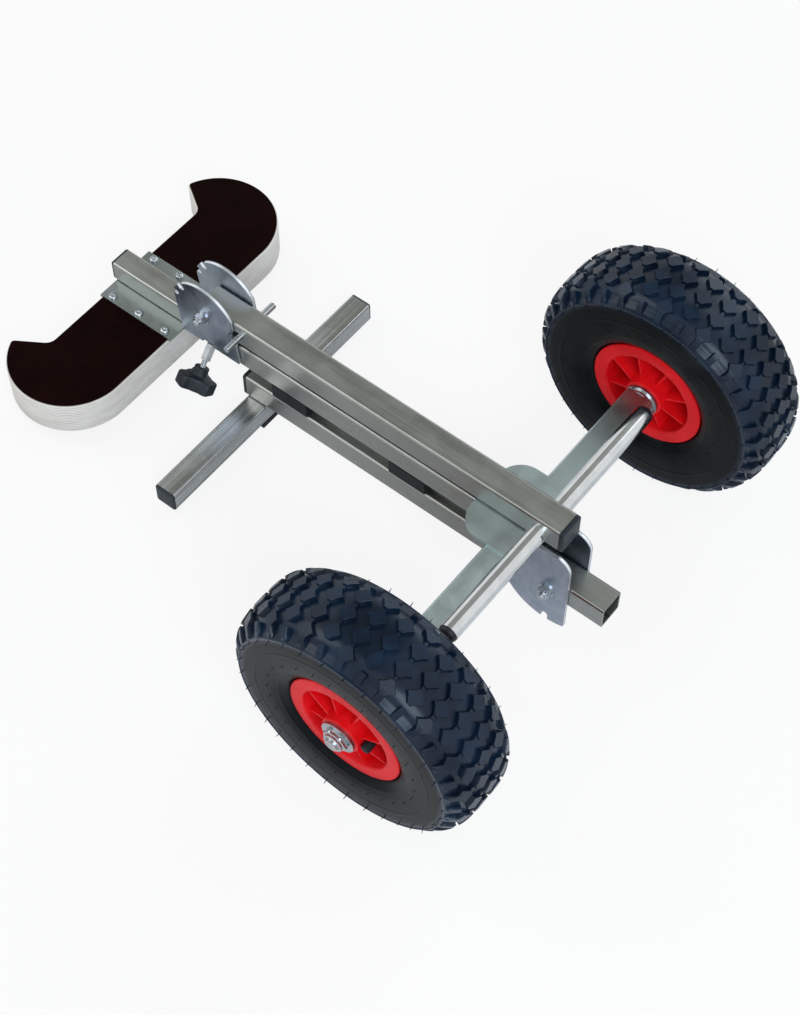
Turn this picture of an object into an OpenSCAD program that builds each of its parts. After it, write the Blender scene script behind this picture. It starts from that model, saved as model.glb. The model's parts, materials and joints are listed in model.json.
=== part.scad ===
// Folding dolly for an outboard engine.
// Three square stainless tubes lie one above another: handle, mast and foot. The mast carries
// a plywood transom board on a telescoping tube at one end and the wheels at the other.
// Lengths are in millimetres. Pieces are drawn along the mast, with X along it and Z across it,
// and stand_on_ground() then leans the whole dolly until its foot pad and wheels touch the ground.

/* [Square tubes] */
// Outer width of the handle, mast and foot tubes and of the axle beams
tube_w = 30; // [28:0.5:34]
// Wall thickness of every square tube
tube_wall = 2; // [1.5:0.1:2.5]
// Outer corner radius of the square tubes
tube_r = 3; // [2.6:0.2:4]
// Thickness of the flat part of a black end cap
cap_t = 5; // [2:0.5:8]
// Depth of the plug of an end cap inside its tube
cap_plug = 9; // [6:0.5:9]

/* [Mast] */
// Length of the mast tube
mast_len = 450; // [400:1:560]
// How far the mast tube runs past the handle tube at the board's end
mast_lead = 24; // [16:1:25]
// Play on each side between the extension tube and the mast's bore
ext_clear = 0.5; // [0.3:0.1:0.8]
// Length of the extension tube
ext_len = 359; // [260:1:400]
// Length of the extension tube that shows past the mast
ext_out = 105; // [100:1:140]

/* [Board] */
// Width of the transom board over both horns
board_w = 362; // [320:1:420]
// Depth of the transom board between its straight edges
board_depth = 94; // [90:1:110]
// Thickness of the transom board with its films
board_t = 44; // [30:1:46]
// Radius of the round ends of the board
horn_r = 66.5; // [60:0.5:70]
// Half the width of the straight front edge between the horns
throat_half = 115; // [95:1:125]
// Angle at which the inner edge of a horn leaves the front edge
horn_flare = 57; // [45:1:65]
// Fillet between the front edge and a horn
throat_fillet = 12; // [6:1:16]
// Thickness of the film on each face of the board
film_t = 0.8; // [0.5:0.1:1.5]
// Thickness of the board's bracket
bracket_t = 3; // [2:0.5:4]
// Length of the bracket along the mast
bracket_len = 98; // [90:1:104]
// Width of the bracket
bracket_w = 76; // [70:1:110]
// Spacing of the board's screws along the mast
screw_pitch = 36.5; // [32:0.5:38]
// Spacing of the two rows of board screws
screw_rows = 64; // [58:1:64]
// Diameter of a board screw
screw_d = 6; // [5:0.5:6]
// Diameter of a board screw's head
screw_head_d = 9.5; // [9:0.5:10]
// Length of a board screw below its head
screw_len = 35; // [12:1:40]

/* [Handle] */
// Length of the handle tube without its cap
handle_len = 447; // [360:1:520]
// Distance of the handle's pivot from the end of the handle tube
handle_pivot_in = 5.5; // [4:0.5:8]
// Diameter of the round handle bar
bar_d = 20; // [16:0.5:22]
// Length of the handle bar without its caps
bar_len = 312; // [240:1:340]
// Distance of the handle bar from the tube's capped end
bar_inset = 21.5; // [20.5:0.5:40]
// Height of the domed caps of the handle bar
dome_h = 9; // [5:0.5:12]

/* [Foot] */
// Height of the buffer blocks between mast and foot tube
buffer_h = 18; // [14:0.5:24]
// Length of a buffer block
buffer_len = 45; // [20:1:60]
// Distance from the handle tube's end to the middle of the first buffer block
buffer_x = 112.5; // [90:0.5:130]
// Distance between the two buffer blocks
buffer_pitch = 152.5; // [100:0.5:180]
// Distance from the handle tube's end to the start of the foot tube
foot_start = 53; // [50:1:80]
// Length of the foot tube past its pivot
foot_stub = 62.5; // [40:0.5:65]
// Distance of the foot's pivot past the end of the mast
foot_pivot_past = 17.5; // [16:0.5:24]
// Outer width of the foot bar
foot_bar_w = 25; // [20:0.5:28]
// Length of the foot bar without its caps
foot_bar_len = 315; // [240:1:360]
// Thickness of the foot bar's caps
foot_cap_t = 2.5; // [2:0.5:5]
// Distance from the start of the foot tube to the middle of the foot bar
foot_bar_in = 13; // [12.5:0.5:30]
// Thickness of the foot pad at its middle
pad_t = 5; // [3:0.5:10]
// Length of the foot pad along the foot bar
pad_len = 42; // [20:1:60]

/* [Plates] */
// Thickness of the handle and foot plates
plate_t = 4; // [3:0.5:5]
// Thickness of the gusset plate on the mast
gusset_t = 4; // [3:0.5:6]
// Width of the gusset plate
gusset_w = 99; // [70:1:120]
// How far the gusset plate reaches from the axle towards the board
gusset_reach = 51.5; // [35:0.5:80]
// Radius of the gusset's free corners
gusset_r = 27; // [10:1:30]
// Radius of the handle plates' round edge about the pivot
handle_arc = 42; // [40:0.5:48]
// How far the handle plates reach below the mast's centre line
handle_plate_drop = 8.5; // [5:0.5:9]
// Distance of the handle plates' lower left corner from the pivot
handle_plate_back = 31.5; // [28:0.5:36]
// Distance of the handle plates' lower right corner from the pivot
handle_plate_front = 44.5; // [43:0.5:50]
// Angle by which the side edges of the handle plates lean
handle_plate_lean = 6.8; // [3:0.1:8]
// Radius of the foot plates' round edge about the pivot
foot_arc = 54; // [52:0.5:60]
// Distance of the foot plates' straight edge past the pivot
foot_plate_front = 22.8; // [18:0.2:28]
// Radius of the foot plates' upper corner
foot_plate_r = 17; // [6:1:20]
// Leg of the weld beads
bead = 3.4; // [2:0.1:3.4]

/* [Locks and pivots] */
// Diameter of both lock pins
pin_d = 7.5; // [6:0.25:8.5]
// Length of both lock pins
pin_len = 74; // [56:1:90]
// Distance of the handle's lock notches from its pivot
handle_seat = 38.2; // [37:0.1:40]
// Distance of the foot's lock notches from its pivot
foot_seat = 48; // [46:0.5:50]
// Second angle at which the handle locks
handle_lock_2 = 135; // [100:1:137]
// Last angle at which the handle locks, where it stands folded open
handle_lock_3 = 157.5; // [156:0.5:160]
// Room left in front of a lock spring when its pin is drawn back
spring_len = 22; // [15:1:30]
// Diameter of the pivot bolts
pivot_d = 8; // [6:0.5:10]
// Width across the flats of the pivot nuts and bolt heads
pivot_af = 13; // [12:0.5:17]
// Diameter of the pivot washers
pivot_washer_d = 17; // [15:0.5:19]
// Outer diameter of the sleeves between the plates
sleeve_d = 12; // [11.5:0.5:14]

/* [Clamp screw] */
// Distance of the clamp screw from the end of the handle tube
clamp_x = 8; // [4:0.5:14]
// Angle of the clamp screw below the horizontal
clamp_tilt = 50; // [45:1:55]
// Thread diameter of the clamp screw
clamp_d = 6; // [5:0.5:8]
// Width across the flats of the long clamp nut
clamp_af = 10; // [9.5:0.5:11]
// Length of the clamp nut outside the mast's corner
clamp_nut_len = 16.5; // [12:0.5:20]
// Distance from the mast's corner to the knob's hub
knob_gap = 25.5; // [24:0.5:34]
// Radius of the knob over its lobes
knob_r = 21; // [18:0.5:22]
// Height of the knob's lobes
knob_h = 14.5; // [9:0.5:16]
// Length of the knob's hub above the lobes
knob_hub_h = 10.5; // [8:0.5:14]
// Radius of the knob's hub
knob_hub_r = 8; // [6:0.5:9]

/* [Wheels] */
// Radius of a wheel over its tyre
wheel_r = 138; // [126:1:150]
// Width of a tyre
tyre_w = 92; // [86:1:98]
// Wall of a tyre at its sides
tyre_wall = 6; // [4:0.5:7]
// Depth of the tread between its studs
tread_depth = 5; // [3:0.5:6]
// Number of studs round a tyre in each of the seven rows
tread_studs = 18; // [14:1:20]
// Distance between two rows of studs
stud_pitch = 10.7; // [10:0.1:11]
// Length of a stud round the tyre
stud_len = 19.8; // [14:0.2:22]
// Width of a stud across the tyre
stud_w = 16.8; // [12:0.2:18]
// Width of the ribs on the tyre's shoulders
shoulder_rib_w = 7; // [5:0.5:8]
// Distance from the mast's end to the axle's centre
axle_inset = 24; // [22:0.5:40]
// Distance between the ends of the two axle beams
beam_span = 378; // [340:1:440]
// Radius of a rim's outer flange
rim_r = 64; // [60:0.5:68]
// Width of a rim over its flanges
rim_w = 78; // [74:1:80]
// Radius of a rim where the tyre's bead sits
rim_seat_r = 53; // [50:0.5:56]
// Radius inside a rim's barrel
rim_bore_r = 49; // [46:0.5:49.5]
// Radius of a wheel's hub
hub_r = 21; // [18:0.5:24]
// Length of a wheel's hub
hub_len = 90; // [84:1:96]
// Number of ribs on each side of a rim's web
rim_ribs = 8; // [6:1:10]
// Thickness of a rim's web and ribs
rim_web = 3.5; // [2.5:0.5:5]
// Distance of a rim's web from its middle
web_out = 15; // [8:1:18]
// Diameter of an axle in its wheel
axle_d = 20; // [16:0.5:22]
// Thread diameter at an axle's end
thread_d = 16; // [12:0.5:16]
// Outer diameter of the axle washers
axle_washer_d = 37; // [32:0.5:40]
// Thickness of the axle washers
axle_washer_t = 3; // [2:0.5:4]
// Length of the spacer between an axle beam and its washer
axle_spacer_t = 4; // [3:0.5:8]
// Width across the flats of the axle nuts
axle_nut_af = 24; // [22:0.5:27]
// Height of the axle nuts
axle_nut_h = 8; // [7:0.5:16]
// Distance of the valve stem from the axle
valve_out = 27; // [27:0.5:30]
// Diameter of the valve stem's cap
valve_d = 10; // [8:0.5:10]

/* [Hidden] */
$fn = 64;

// Named clearances
stop_gap = 0.3;
plate_gap = 0.4;
notch_play = 0.25;
run_play = 0.05;
touch = 0.2;

// Square tubes
half = tube_w / 2;
bore_w = tube_w - 2 * tube_wall;
ext_w = bore_w - 2 * ext_clear;
ext_r = tube_r - 0.5;

// Heights of the three tubes' centre lines over the mast's centre line
handle_z = half + gusset_t + stop_gap + half;
foot_z = -(half + buffer_h + stop_gap + half);

// Places along the mast
mast_x0 = -mast_lead;
mast_x1 = mast_len - mast_lead;
ext_x0 = mast_x0 - ext_out;
axle_x = mast_x1 - axle_inset;
foot_pivot_x = mast_x1 + foot_pivot_past;
foot_x1 = foot_pivot_x + foot_stub;
bar_x = handle_len - bar_inset;
foot_bar_x = foot_start + foot_bar_in;
foot_bar_z = foot_z - half - foot_bar_w / 2;

// Board and bracket
bracket_x1 = mast_x0 - 5;
bracket_x0 = bracket_x1 - bracket_len;
bracket_z = -ext_w / 2 - bracket_t;
board_x1 = bracket_x1 - 3;
board_x0 = board_x1 - board_depth;
horn_x = board_x1 - horn_r;
horn_y = board_w / 2 - horn_r;
screw_hole_d = screw_d + 0.5;
screw_head_h = 3.2;
screw_pilot = 0.05;

// Plates
plate_y = half + plate_gap;
foot_plate_x = axle_x + half + 1.5;
handle_drawn = handle_arc + pin_d / 2 + stop_gap;
foot_drawn = foot_arc + pin_d / 2 + stop_gap;

// Wheels, measured from the middle of a tyre
beam_end = beam_span / 2;
hub_gap = 0.3;
wheel_y = beam_end + axle_spacer_t + axle_washer_t + hub_gap + hub_len / 2;
hub_half = hub_len / 2;
rim_half = rim_w / 2;
flange_t = 3;
bush_r = axle_d / 2 + 4;
bush_len = 20;
axle_end_y = wheel_y + hub_half + hub_gap;
thread_y = axle_end_y + axle_washer_t + axle_nut_h + 2;

// One half of the tyre's section: from the bead to the ring where the shoulder ribs end, then
// the crown, which is sunk by the tread's depth between the studs, and the inside.
bead_w = rim_half - flange_t;
bead_t = 6.5;
tyre_half = tyre_w / 2;
side_r = wheel_r - 36;
shoulder_ring = [wheel_r - 17, tyre_half - 1];
tyre_side = [
    [rim_seat_r, bead_w - bead_t], [rim_seat_r, bead_w], [rim_r, bead_w], [rim_r + 3, bead_w + 2.5],
    [rim_r + 9, tyre_half - 3.5], [rim_r + 18, tyre_half - 0.8], [side_r, tyre_half],
    shoulder_ring
];
tread_floor = crown_line(tread_depth);
tread_root = crown_line(tread_depth + 1.5);
tread_section = concat(
    [shoulder_ring], crown_line(0), mirrored(crown_line(0)), mirrored([shoulder_ring]),
    mirrored(backwards(tread_root)), backwards(tread_root)
);

// A shoulder rib starts inside a stud of the outermost row, or between two of them a little out.
outer_row = 3;
rib_start = outer_row * stud_pitch;
rib_late = rib_start + 3;

tyre_inner = inner_line(0);

// The valve's stem runs between the web and the tyre's bead.
valve_stem_r = valve_d / 2 - 1;
valve_z = min(web_out + rim_web + 6.5, bead_w - bead_t - valve_stem_r - 0.4);

// The air tube is a hollow ring that follows the inside of its tyre, and the valve's stem
// ends just short of it.
air_gap = 0.5;
air_wall = 1.5;

// Pivots, clamp screw and springs. The clamp stud's tip stops just short of the extension
// tube's rounded corner.
washer_t = 1.6;
pivot_nut_h = 8;
pivot_head_h = 5.3;
stud_in = (half - ext_w / 2 + ext_r) * (cos(clamp_tilt) + sin(clamp_tilt)) - ext_r - stop_gap;
stud_out = knob_gap + knob_hub_h + knob_h - 4;
plug_len = 12;
spring_r = 6;
spring_wire = 1.5;

// Lean of the mast on the ground
pad_depth = -(foot_bar_z - foot_bar_w / 2 - pad_t);
pad_arm = axle_x - foot_bar_x;
pad_far = sqrt(pad_arm * pad_arm + pad_depth * pad_depth);
lean = asin(wheel_r / pad_far) - atan(pad_depth / pad_arm);
axle_px = pad_arm * cos(lean) - pad_depth * sin(lean);

steel = [0.62, 0.62, 0.60];
plate_steel = [0.66, 0.67, 0.70];
galvanised = [0.66, 0.72, 0.73];
bright_steel = [0.78, 0.79, 0.80];
black_plastic = [0.05, 0.05, 0.06];
tyre_black = [0.07, 0.08, 0.10];
rim_red = [0.86, 0.05, 0.07];
film_brown = [0.07, 0.03, 0.03];
ply = [0.82, 0.74, 0.62];

// Puts what is drawn along the mast on the ground, with the foot pad over the origin.
module stand_on_ground() {
    translate([axle_px, 0, wheel_r])
        rotate([0, -lean, 0])
            translate([-axle_x, 0, 0]) children();
}

// A square with round corners, about the origin.
module round_square(w, r) {
    square([w - 2 * r, w], center = true);
    square([w, w - 2 * r], center = true);
    for (sx = [-1, 1], sy = [-1, 1])
        translate([sx * (w / 2 - r), sy * (w / 2 - r)]) circle(r = r);
}

// Extrudes an outline, drawn as Y and Z, from x0 to x1.
module along_x(x0, x1) {
    translate([x0, 0, 0]) rotate([90, 0, 90]) linear_extrude(height = x1 - x0) children();
}

// Extrudes an outline, drawn as X and Z, from y0 to y1.
module along_y(y0, y1) {
    translate([0, y1, 0]) rotate([90, 0, 0]) linear_extrude(height = y1 - y0) children();
}

// The wall of a square tube, as an outline.
module tube_outline(w, r) {
    difference() {
        round_square(w, r);
        round_square(w - 2 * tube_wall, max(r - tube_wall, 0.5));
    }
}

// A black end cap, plug first, pointing along +X from the end of its tube.
module square_cap(w, t) {
    plug_w = w - 2 * tube_wall;
    edge = min(1, t / 2);
    along_x(0, t - edge) round_square(w, tube_r);
    along_x(t - edge, t) round_square(w - 2 * edge, tube_r - edge);
    difference() {
        along_x(-cap_plug, 0) round_square(plug_w, 1);
        along_x(-cap_plug - 1, -tube_wall) round_square(plug_w - 2 * tube_wall, 0.5);
    }
}

// A hexagon with a given width across its flats.
module hexagon(af) {
    circle(r = af / 2 / cos(30), $fn = 6);
}

// A ring along +Z.
module ring(r_out, r_in, h) {
    difference() {
        cylinder(r = r_out, h = h);
        translate([0, 0, -1]) cylinder(r = r_in, h = h + 2);
    }
}

// A slot along X for a lock pin, between two distances from a pivot, as an outline.
module pin_slot(from, to, grow) {
    r = pin_d / 2 + grow;
    translate([from, 0]) circle(r = r);
    translate([to, 0]) circle(r = r);
    translate([from, -r]) square([to - from, 2 * r]);
}

// Turns a child so that its +Z points outward from the mast, side being -1 near and 1 far.
module sideways(side) {
    rotate([-90 * side, 0, 0]) children();
}

// Mast

module mast_solid() {
    difference() {
        along_x(mast_x0, mast_x1) tube_outline(tube_w, tube_r);
        clamp_axis() translate([0, 0, -tube_w / 3]) cylinder(d = clamp_d + 0.6, h = tube_w / 2);
    }
}

module mast_tube() {
    color(steel) stand_on_ground() mast_solid();
}

module handle_plate_outline() {
    top = handle_z + handle_arc + 5;
    shift = (top + handle_plate_drop) * tan(handle_plate_lean);
    back = handle_pivot_in - handle_plate_back;
    front = handle_pivot_in + handle_plate_front;
    difference() {
        intersection() {
            union() {
                translate([handle_pivot_in, handle_z]) circle(r = handle_arc);
                translate([back - handle_arc, -handle_plate_drop])
                    square([front - back + 2 * handle_arc, handle_z + handle_plate_drop]);
            }
            polygon([
                [back, -handle_plate_drop], [front, -handle_plate_drop],
                [front - shift, top], [back - shift, top]
            ]);
        }
        translate([handle_pivot_in, handle_z]) {
            circle(d = pivot_d + 0.4);
            for (a = [0, handle_lock_2, handle_lock_3])
                rotate(a) pin_slot(handle_seat, handle_arc + pin_d, notch_play);
        }
    }
}

module handle_plate(side) {
    difference() {
        along_y(side > 0 ? plate_y : -plate_y - plate_t, side > 0 ? plate_y + plate_t : -plate_y)
            handle_plate_outline();
        if (side < 0) clamp_notch();
    }
}

// The notch in the near plate's lower edge that the clamp nut passes through.
module clamp_notch() {
    w = clamp_af / cos(30) + 2.5;
    h = 4;
    translate([clamp_x - w / 2, -plate_y - plate_t - 1, -handle_plate_drop - 1])
        cube([w, plate_t + 2, h + 1]);
}

module near_handle_plate() {
    color(plate_steel) stand_on_ground() handle_plate(-1);
}

module far_handle_plate() {
    color(plate_steel) stand_on_ground() handle_plate(1);
}

module foot_plate_outline() {
    front = foot_pivot_x + foot_plate_front;
    difference() {
        union() {
            intersection() {
                translate([foot_pivot_x, foot_z]) circle(r = foot_arc);
                translate([foot_pivot_x - foot_arc, foot_z - foot_arc])
                    square([foot_arc + foot_plate_front, foot_arc - half - stop_gap - foot_z]);
            }
            difference() {
                translate([foot_plate_x, foot_z]) square([front - foot_plate_x, half - foot_z]);
                difference() {
                    translate([front - foot_plate_r, half - foot_plate_r])
                        square(foot_plate_r + 1);
                    translate([front - foot_plate_r, half - foot_plate_r])
                        circle(r = foot_plate_r);
                }
            }
        }
        translate([foot_pivot_x, foot_z]) {
            circle(d = pivot_d + 0.4);
            for (a = [180, 270])
                rotate(a) pin_slot(foot_seat, foot_arc + pin_d, notch_play);
        }
    }
}

module foot_plate(side) {
    along_y(side > 0 ? plate_y : -plate_y - plate_t, side > 0 ? plate_y + plate_t : -plate_y)
        foot_plate_outline();
}

module near_foot_plate() {
    color(plate_steel) stand_on_ground() foot_plate(-1);
}

module far_foot_plate() {
    color(plate_steel) stand_on_ground() foot_plate(1);
}

// The flat plate that ties the mast to both axle beams, with its two free corners rounded.
module gusset_plate() {
    x0 = axle_x - gusset_reach;
    x1 = axle_x + half;
    color(galvanised) stand_on_ground() translate([0, 0, half])
        linear_extrude(height = gusset_t) {
            translate([x0 + gusset_r, -gusset_w / 2]) square([x1 - x0 - gusset_r, gusset_w]);
            translate([x0, -gusset_w / 2 + gusset_r])
                square([gusset_r + 1, gusset_w - 2 * gusset_r]);
            for (s = [-1, 1])
                translate([x0 + gusset_r, s * (gusset_w / 2 - gusset_r)]) circle(r = gusset_r);
        }
}

module axle_beam(side) {
    translate([axle_x, 0, 0])
        along_y(side > 0 ? half : -beam_end, side > 0 ? beam_end : -half)
            tube_outline(tube_w, tube_r);
}

module near_axle_beam() {
    color(galvanised) stand_on_ground() axle_beam(-1);
}

module far_axle_beam() {
    color(galvanised) stand_on_ground() axle_beam(1);
}

// One axle: a square block inside the beam, the round shaft and its threaded end.
module axle(side) {
    block = 30;
    translate([axle_x, 0, 0]) sideways(side) {
        translate([0, 0, beam_end - block])
            linear_extrude(height = block) round_square(bore_w, 1);
        translate([0, 0, beam_end - 1])
            cylinder(r = axle_d / 2 - run_play, h = axle_end_y - beam_end + 1);
        translate([0, 0, axle_end_y - 1]) cylinder(d = thread_d, h = thread_y - axle_end_y);
        translate([0, 0, thread_y - 1]) cylinder(d = thread_d - 2, h = 1);
    }
}

module near_axle() {
    color(bright_steel) stand_on_ground() axle(-1);
}

module far_axle() {
    color(bright_steel) stand_on_ground() axle(1);
}

module axle_spacers() {
    color(bright_steel) stand_on_ground()
        for (side = [-1, 1])
            translate([axle_x, 0, 0]) sideways(side) translate([0, 0, beam_end])
                ring(axle_washer_d / 2 - 2.5, axle_d / 2, axle_spacer_t);
}

module axle_washers() {
    color(bright_steel) stand_on_ground()
        for (side = [-1, 1])
            translate([axle_x, 0, 0]) sideways(side) {
                translate([0, 0, beam_end + axle_spacer_t])
                    ring(axle_washer_d / 2, axle_d / 2, axle_washer_t);
                translate([0, 0, axle_end_y])
                    ring(axle_washer_d / 2, thread_d / 2, axle_washer_t);
            }
}

module axle_nuts() {
    collar = 3;
    color(bright_steel) stand_on_ground()
        for (side = [-1, 1])
            translate([axle_x, 0, 0]) sideways(side)
                translate([0, 0, axle_end_y + axle_washer_t])
                    difference() {
                        union() {
                            linear_extrude(height = axle_nut_h - collar) hexagon(axle_nut_af);
                            cylinder(d = axle_nut_af - 3, h = axle_nut_h);
                        }
                        translate([0, 0, -1]) cylinder(d = thread_d, h = axle_nut_h + 2);
                    }
}

module buffer_blocks() {
    color(black_plastic) stand_on_ground()
        for (x = [buffer_x, buffer_x + buffer_pitch])
            translate([x - buffer_len / 2, -half, -half - buffer_h])
                cube([buffer_len, tube_w, buffer_h]);
}

// The clamp screw's axis: +Z runs down and outward from the mast's near lower corner.
module clamp_axis() {
    translate([clamp_x, -half, -half]) rotate([90 + clamp_tilt, 0, 0]) children();
}

module clamp_nut() {
    sunk = 2;
    color(bright_steel) stand_on_ground()
        difference() {
            clamp_axis() translate([0, 0, -sunk])
                linear_extrude(height = clamp_nut_len + sunk) hexagon(clamp_af);
            along_x(clamp_x - clamp_af, clamp_x + clamp_af) round_square(tube_w, tube_r);
            clamp_axis() translate([0, 0, -sunk - 1])
                cylinder(r = clamp_d / 2 + run_play, h = clamp_nut_len + sunk + 2);
        }
}

// Copies a pivot part to the handle's and the foot's pivot.
module at_pivots() {
    for (p = [[handle_pivot_in, handle_z], [foot_pivot_x, foot_z]])
        translate([p[0], 0, p[1]]) children();
}

module pivot_bolts() {
    outer = plate_y + plate_t + washer_t;
    color(bright_steel) stand_on_ground() at_pivots() {
        sideways(-1) translate([0, 0, -outer])
            cylinder(d = pivot_d, h = 2 * outer + pivot_nut_h + 3);
        sideways(1) translate([0, 0, outer])
            linear_extrude(height = pivot_head_h) hexagon(pivot_af);
    }
}

module pivot_sleeves() {
    color(bright_steel) stand_on_ground() at_pivots()
        sideways(1) translate([0, 0, -plate_y])
            ring(sleeve_d / 2, pivot_d / 2 + 0.1, 2 * plate_y);
}

module pivot_washers() {
    color(bright_steel) stand_on_ground() at_pivots()
        for (side = [-1, 1])
            sideways(side) translate([0, 0, plate_y + plate_t])
                ring(pivot_washer_d / 2, pivot_d / 2 + 0.1, washer_t);
}

module pivot_nuts() {
    collar = 2;
    color(bright_steel) stand_on_ground() at_pivots()
        sideways(-1) translate([0, 0, plate_y + plate_t + washer_t])
            difference() {
                union() {
                    linear_extrude(height = pivot_nut_h - collar) hexagon(pivot_af);
                    cylinder(d = pivot_af - 1.5, h = pivot_nut_h);
                }
                translate([0, 0, -1]) cylinder(d = pivot_d, h = pivot_nut_h + 2);
            }
}

// A weld bead along X in the corner between a side face and a plate's lower edge.
module bead_under(x0, x1, y, z, side) {
    along_x(x0, x1) polygon([[side * y, z], [side * (y + bead), z], [side * y, z - bead]]);
}

module weld_beads() {
    back = handle_pivot_in - handle_plate_back + 4;
    front = handle_pivot_in + handle_plate_front - 4;
    notch = clamp_af / cos(30) / 2 + 2.5;
    beam_bead_x0 = foot_pivot_x - sqrt(foot_arc * foot_arc - pow(half + stop_gap + foot_z, 2)) + 3;
    color(steel) stand_on_ground() {
        bead_under(back, clamp_x - notch, half, -handle_plate_drop, -1);
        bead_under(clamp_x + notch, front, half, -handle_plate_drop, -1);
        bead_under(back, front, half, -handle_plate_drop, 1);
        for (side = [-1, 1]) {
            bead_under(beam_bead_x0, axle_x + half - tube_r, plate_y + plate_t, -half, side);
            translate([axle_x + half, side > 0 ? half : -half - bead, tube_r - half])
                cube([foot_plate_x - axle_x - half, bead, tube_w - 2 * tube_r]);
        }
    }
}

// Telescoping extension with the transom board

module extension_tube() {
    color(steel) stand_on_ground()
        along_x(ext_x0, ext_x0 + ext_len) tube_outline(ext_w, ext_r);
}

module extension_cap() {
    color(black_plastic) stand_on_ground()
        translate([ext_x0, 0, 0]) mirror([1, 0, 0]) square_cap(ext_w, 3);
}

// Copies a screw part to the six screws, at the bracket's upper face.
module at_screws() {
    middle = (bracket_x0 + bracket_x1) / 2;
    for (i = [-1, 0, 1], side = [-1, 1])
        translate([middle + i * screw_pitch, side * screw_rows / 2, bracket_z + bracket_t])
            children();
}

module board_bracket() {
    color(galvanised) stand_on_ground()
        difference() {
            translate([bracket_x0, -bracket_w / 2, bracket_z])
                cube([bracket_len, bracket_w, bracket_t]);
            at_screws() translate([0, 0, -bracket_t - 1])
                cylinder(d = screw_hole_d, h = bracket_t + 2);
        }
}

// The points of an arc about a centre, from one angle to another.
function arc(cx, cy, r, from, to, steps) =
    [for (i = [0:steps]) let (a = from + (to - from) * i / steps) [cx + r * cos(a), cy + r * sin(a)]];

// What is cut from the front of the board on one side: the throat with its fillet and flare.
module throat() {
    reach = horn_r * 2;
    fillet_y = throat_half - throat_fillet * tan(horn_flare / 2);
    polygon(concat(
        [[board_x0 - reach, 0], [board_x0, 0]],
        arc(board_x0 - throat_fillet, fillet_y, throat_fillet, 0, horn_flare, 10),
        [[board_x0 - reach * sin(horn_flare), throat_half + reach * cos(horn_flare)],
         [board_x0 - reach, throat_half + reach * cos(horn_flare)]]
    ));
}

module board_outline() {
    difference() {
        union() {
            translate([board_x0, -horn_y]) square([board_depth, 2 * horn_y]);
            for (side = [-1, 1]) translate([horn_x, side * horn_y]) circle(r = horn_r);
        }
        throat();
        mirror([0, 1]) throat();
    }
}

// A layer of the board between two heights below the board's upper face.
module board_layer(top, bottom) {
    difference() {
        translate([0, 0, bracket_z - bottom])
            linear_extrude(height = bottom - top) board_outline();
        at_screws() translate([0, 0, -screw_len - 1])
            cylinder(r = screw_d / 2 + screw_pilot, h = screw_len + 2);
    }
}

module board_core() {
    color(ply) stand_on_ground() board_layer(film_t, board_t - film_t);
}

module board_top_film() {
    color(film_brown) stand_on_ground() board_layer(0, film_t);
}

module board_bottom_film() {
    color(film_brown) stand_on_ground()
        translate([0, 0, bracket_z - board_t]) linear_extrude(height = film_t) board_outline();
}

// Pan head screws: a short round head with a domed top and a hexagon socket, and the shank.
module board_screws() {
    color(bright_steel) stand_on_ground() at_screws()
        difference() {
            union() {
                translate([0, 0, -screw_len]) cylinder(d = screw_d, h = screw_len);
                cylinder(d = screw_head_d, h = screw_head_h - 1);
                translate([0, 0, screw_head_h - 1]) cylinder(d = screw_head_d - 1.6, h = 1);
            }
            translate([0, 0, 1]) linear_extrude(height = screw_head_h) hexagon(4);
        }
}

// Clamp screw

module clamp_stud() {
    color(bright_steel) stand_on_ground() clamp_axis()
        translate([0, 0, -stud_in]) cylinder(d = clamp_d, h = stud_in + stud_out);
}

module clamp_knob() {
    lobe_half = knob_r * 0.45;
    corner = 4;
    color(black_plastic) stand_on_ground() clamp_axis()
        translate([0, 0, knob_gap])
            difference() {
                union() {
                    cylinder(r = knob_hub_r, h = knob_hub_h + 1);
                    translate([0, 0, knob_hub_h]) linear_extrude(height = knob_h) {
                        circle(r = knob_r * 0.72);
                        for (a = [0, 120, 240])
                            rotate(a) {
                                translate([0, -lobe_half]) square([knob_r - corner, 2 * lobe_half]);
                                translate([0, corner - lobe_half])
                                    square([knob_r, 2 * (lobe_half - corner)]);
                                for (s = [-1, 1])
                                    translate([knob_r - corner, s * (lobe_half - corner)])
                                        circle(r = corner);
                            }
                    }
                }
                translate([0, 0, -1])
                    cylinder(r = clamp_d / 2 + run_play, h = stud_out - knob_gap + 1 + stop_gap);
            }
}

// Handle

module handle_tube() {
    color(steel) stand_on_ground()
        difference() {
            translate([0, 0, handle_z]) {
                along_x(0, handle_len) tube_outline(tube_w, tube_r);
                for (side = [-1, 1])
                    along_y(side > 0 ? half - tube_wall : -half, side > 0 ? half : tube_wall - half)
                        translate([handle_pivot_in, 0]) circle(r = half - tube_r);
            }
            translate([handle_pivot_in, 0, handle_z]) {
                sideways(1) translate([0, 0, -tube_w])
                    cylinder(r = sleeve_d / 2 + run_play, h = 2 * tube_w);
                along_y(-tube_w, tube_w) pin_slot(handle_seat, handle_drawn, touch);
            }
            translate([bar_x, 0, handle_z]) sideways(1) translate([0, 0, -tube_w])
                cylinder(d = bar_d, h = 2 * tube_w);
        }
}

module handle_tube_cap() {
    color(black_plastic) stand_on_ground()
        translate([handle_len, 0, handle_z]) square_cap(tube_w, cap_t);
}

module handle_bar() {
    color(bright_steel) stand_on_ground()
        translate([bar_x, 0, handle_z]) sideways(1) translate([0, 0, -bar_len / 2])
            ring(bar_d / 2, bar_d / 2 - 1.5, bar_len);
}

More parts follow.
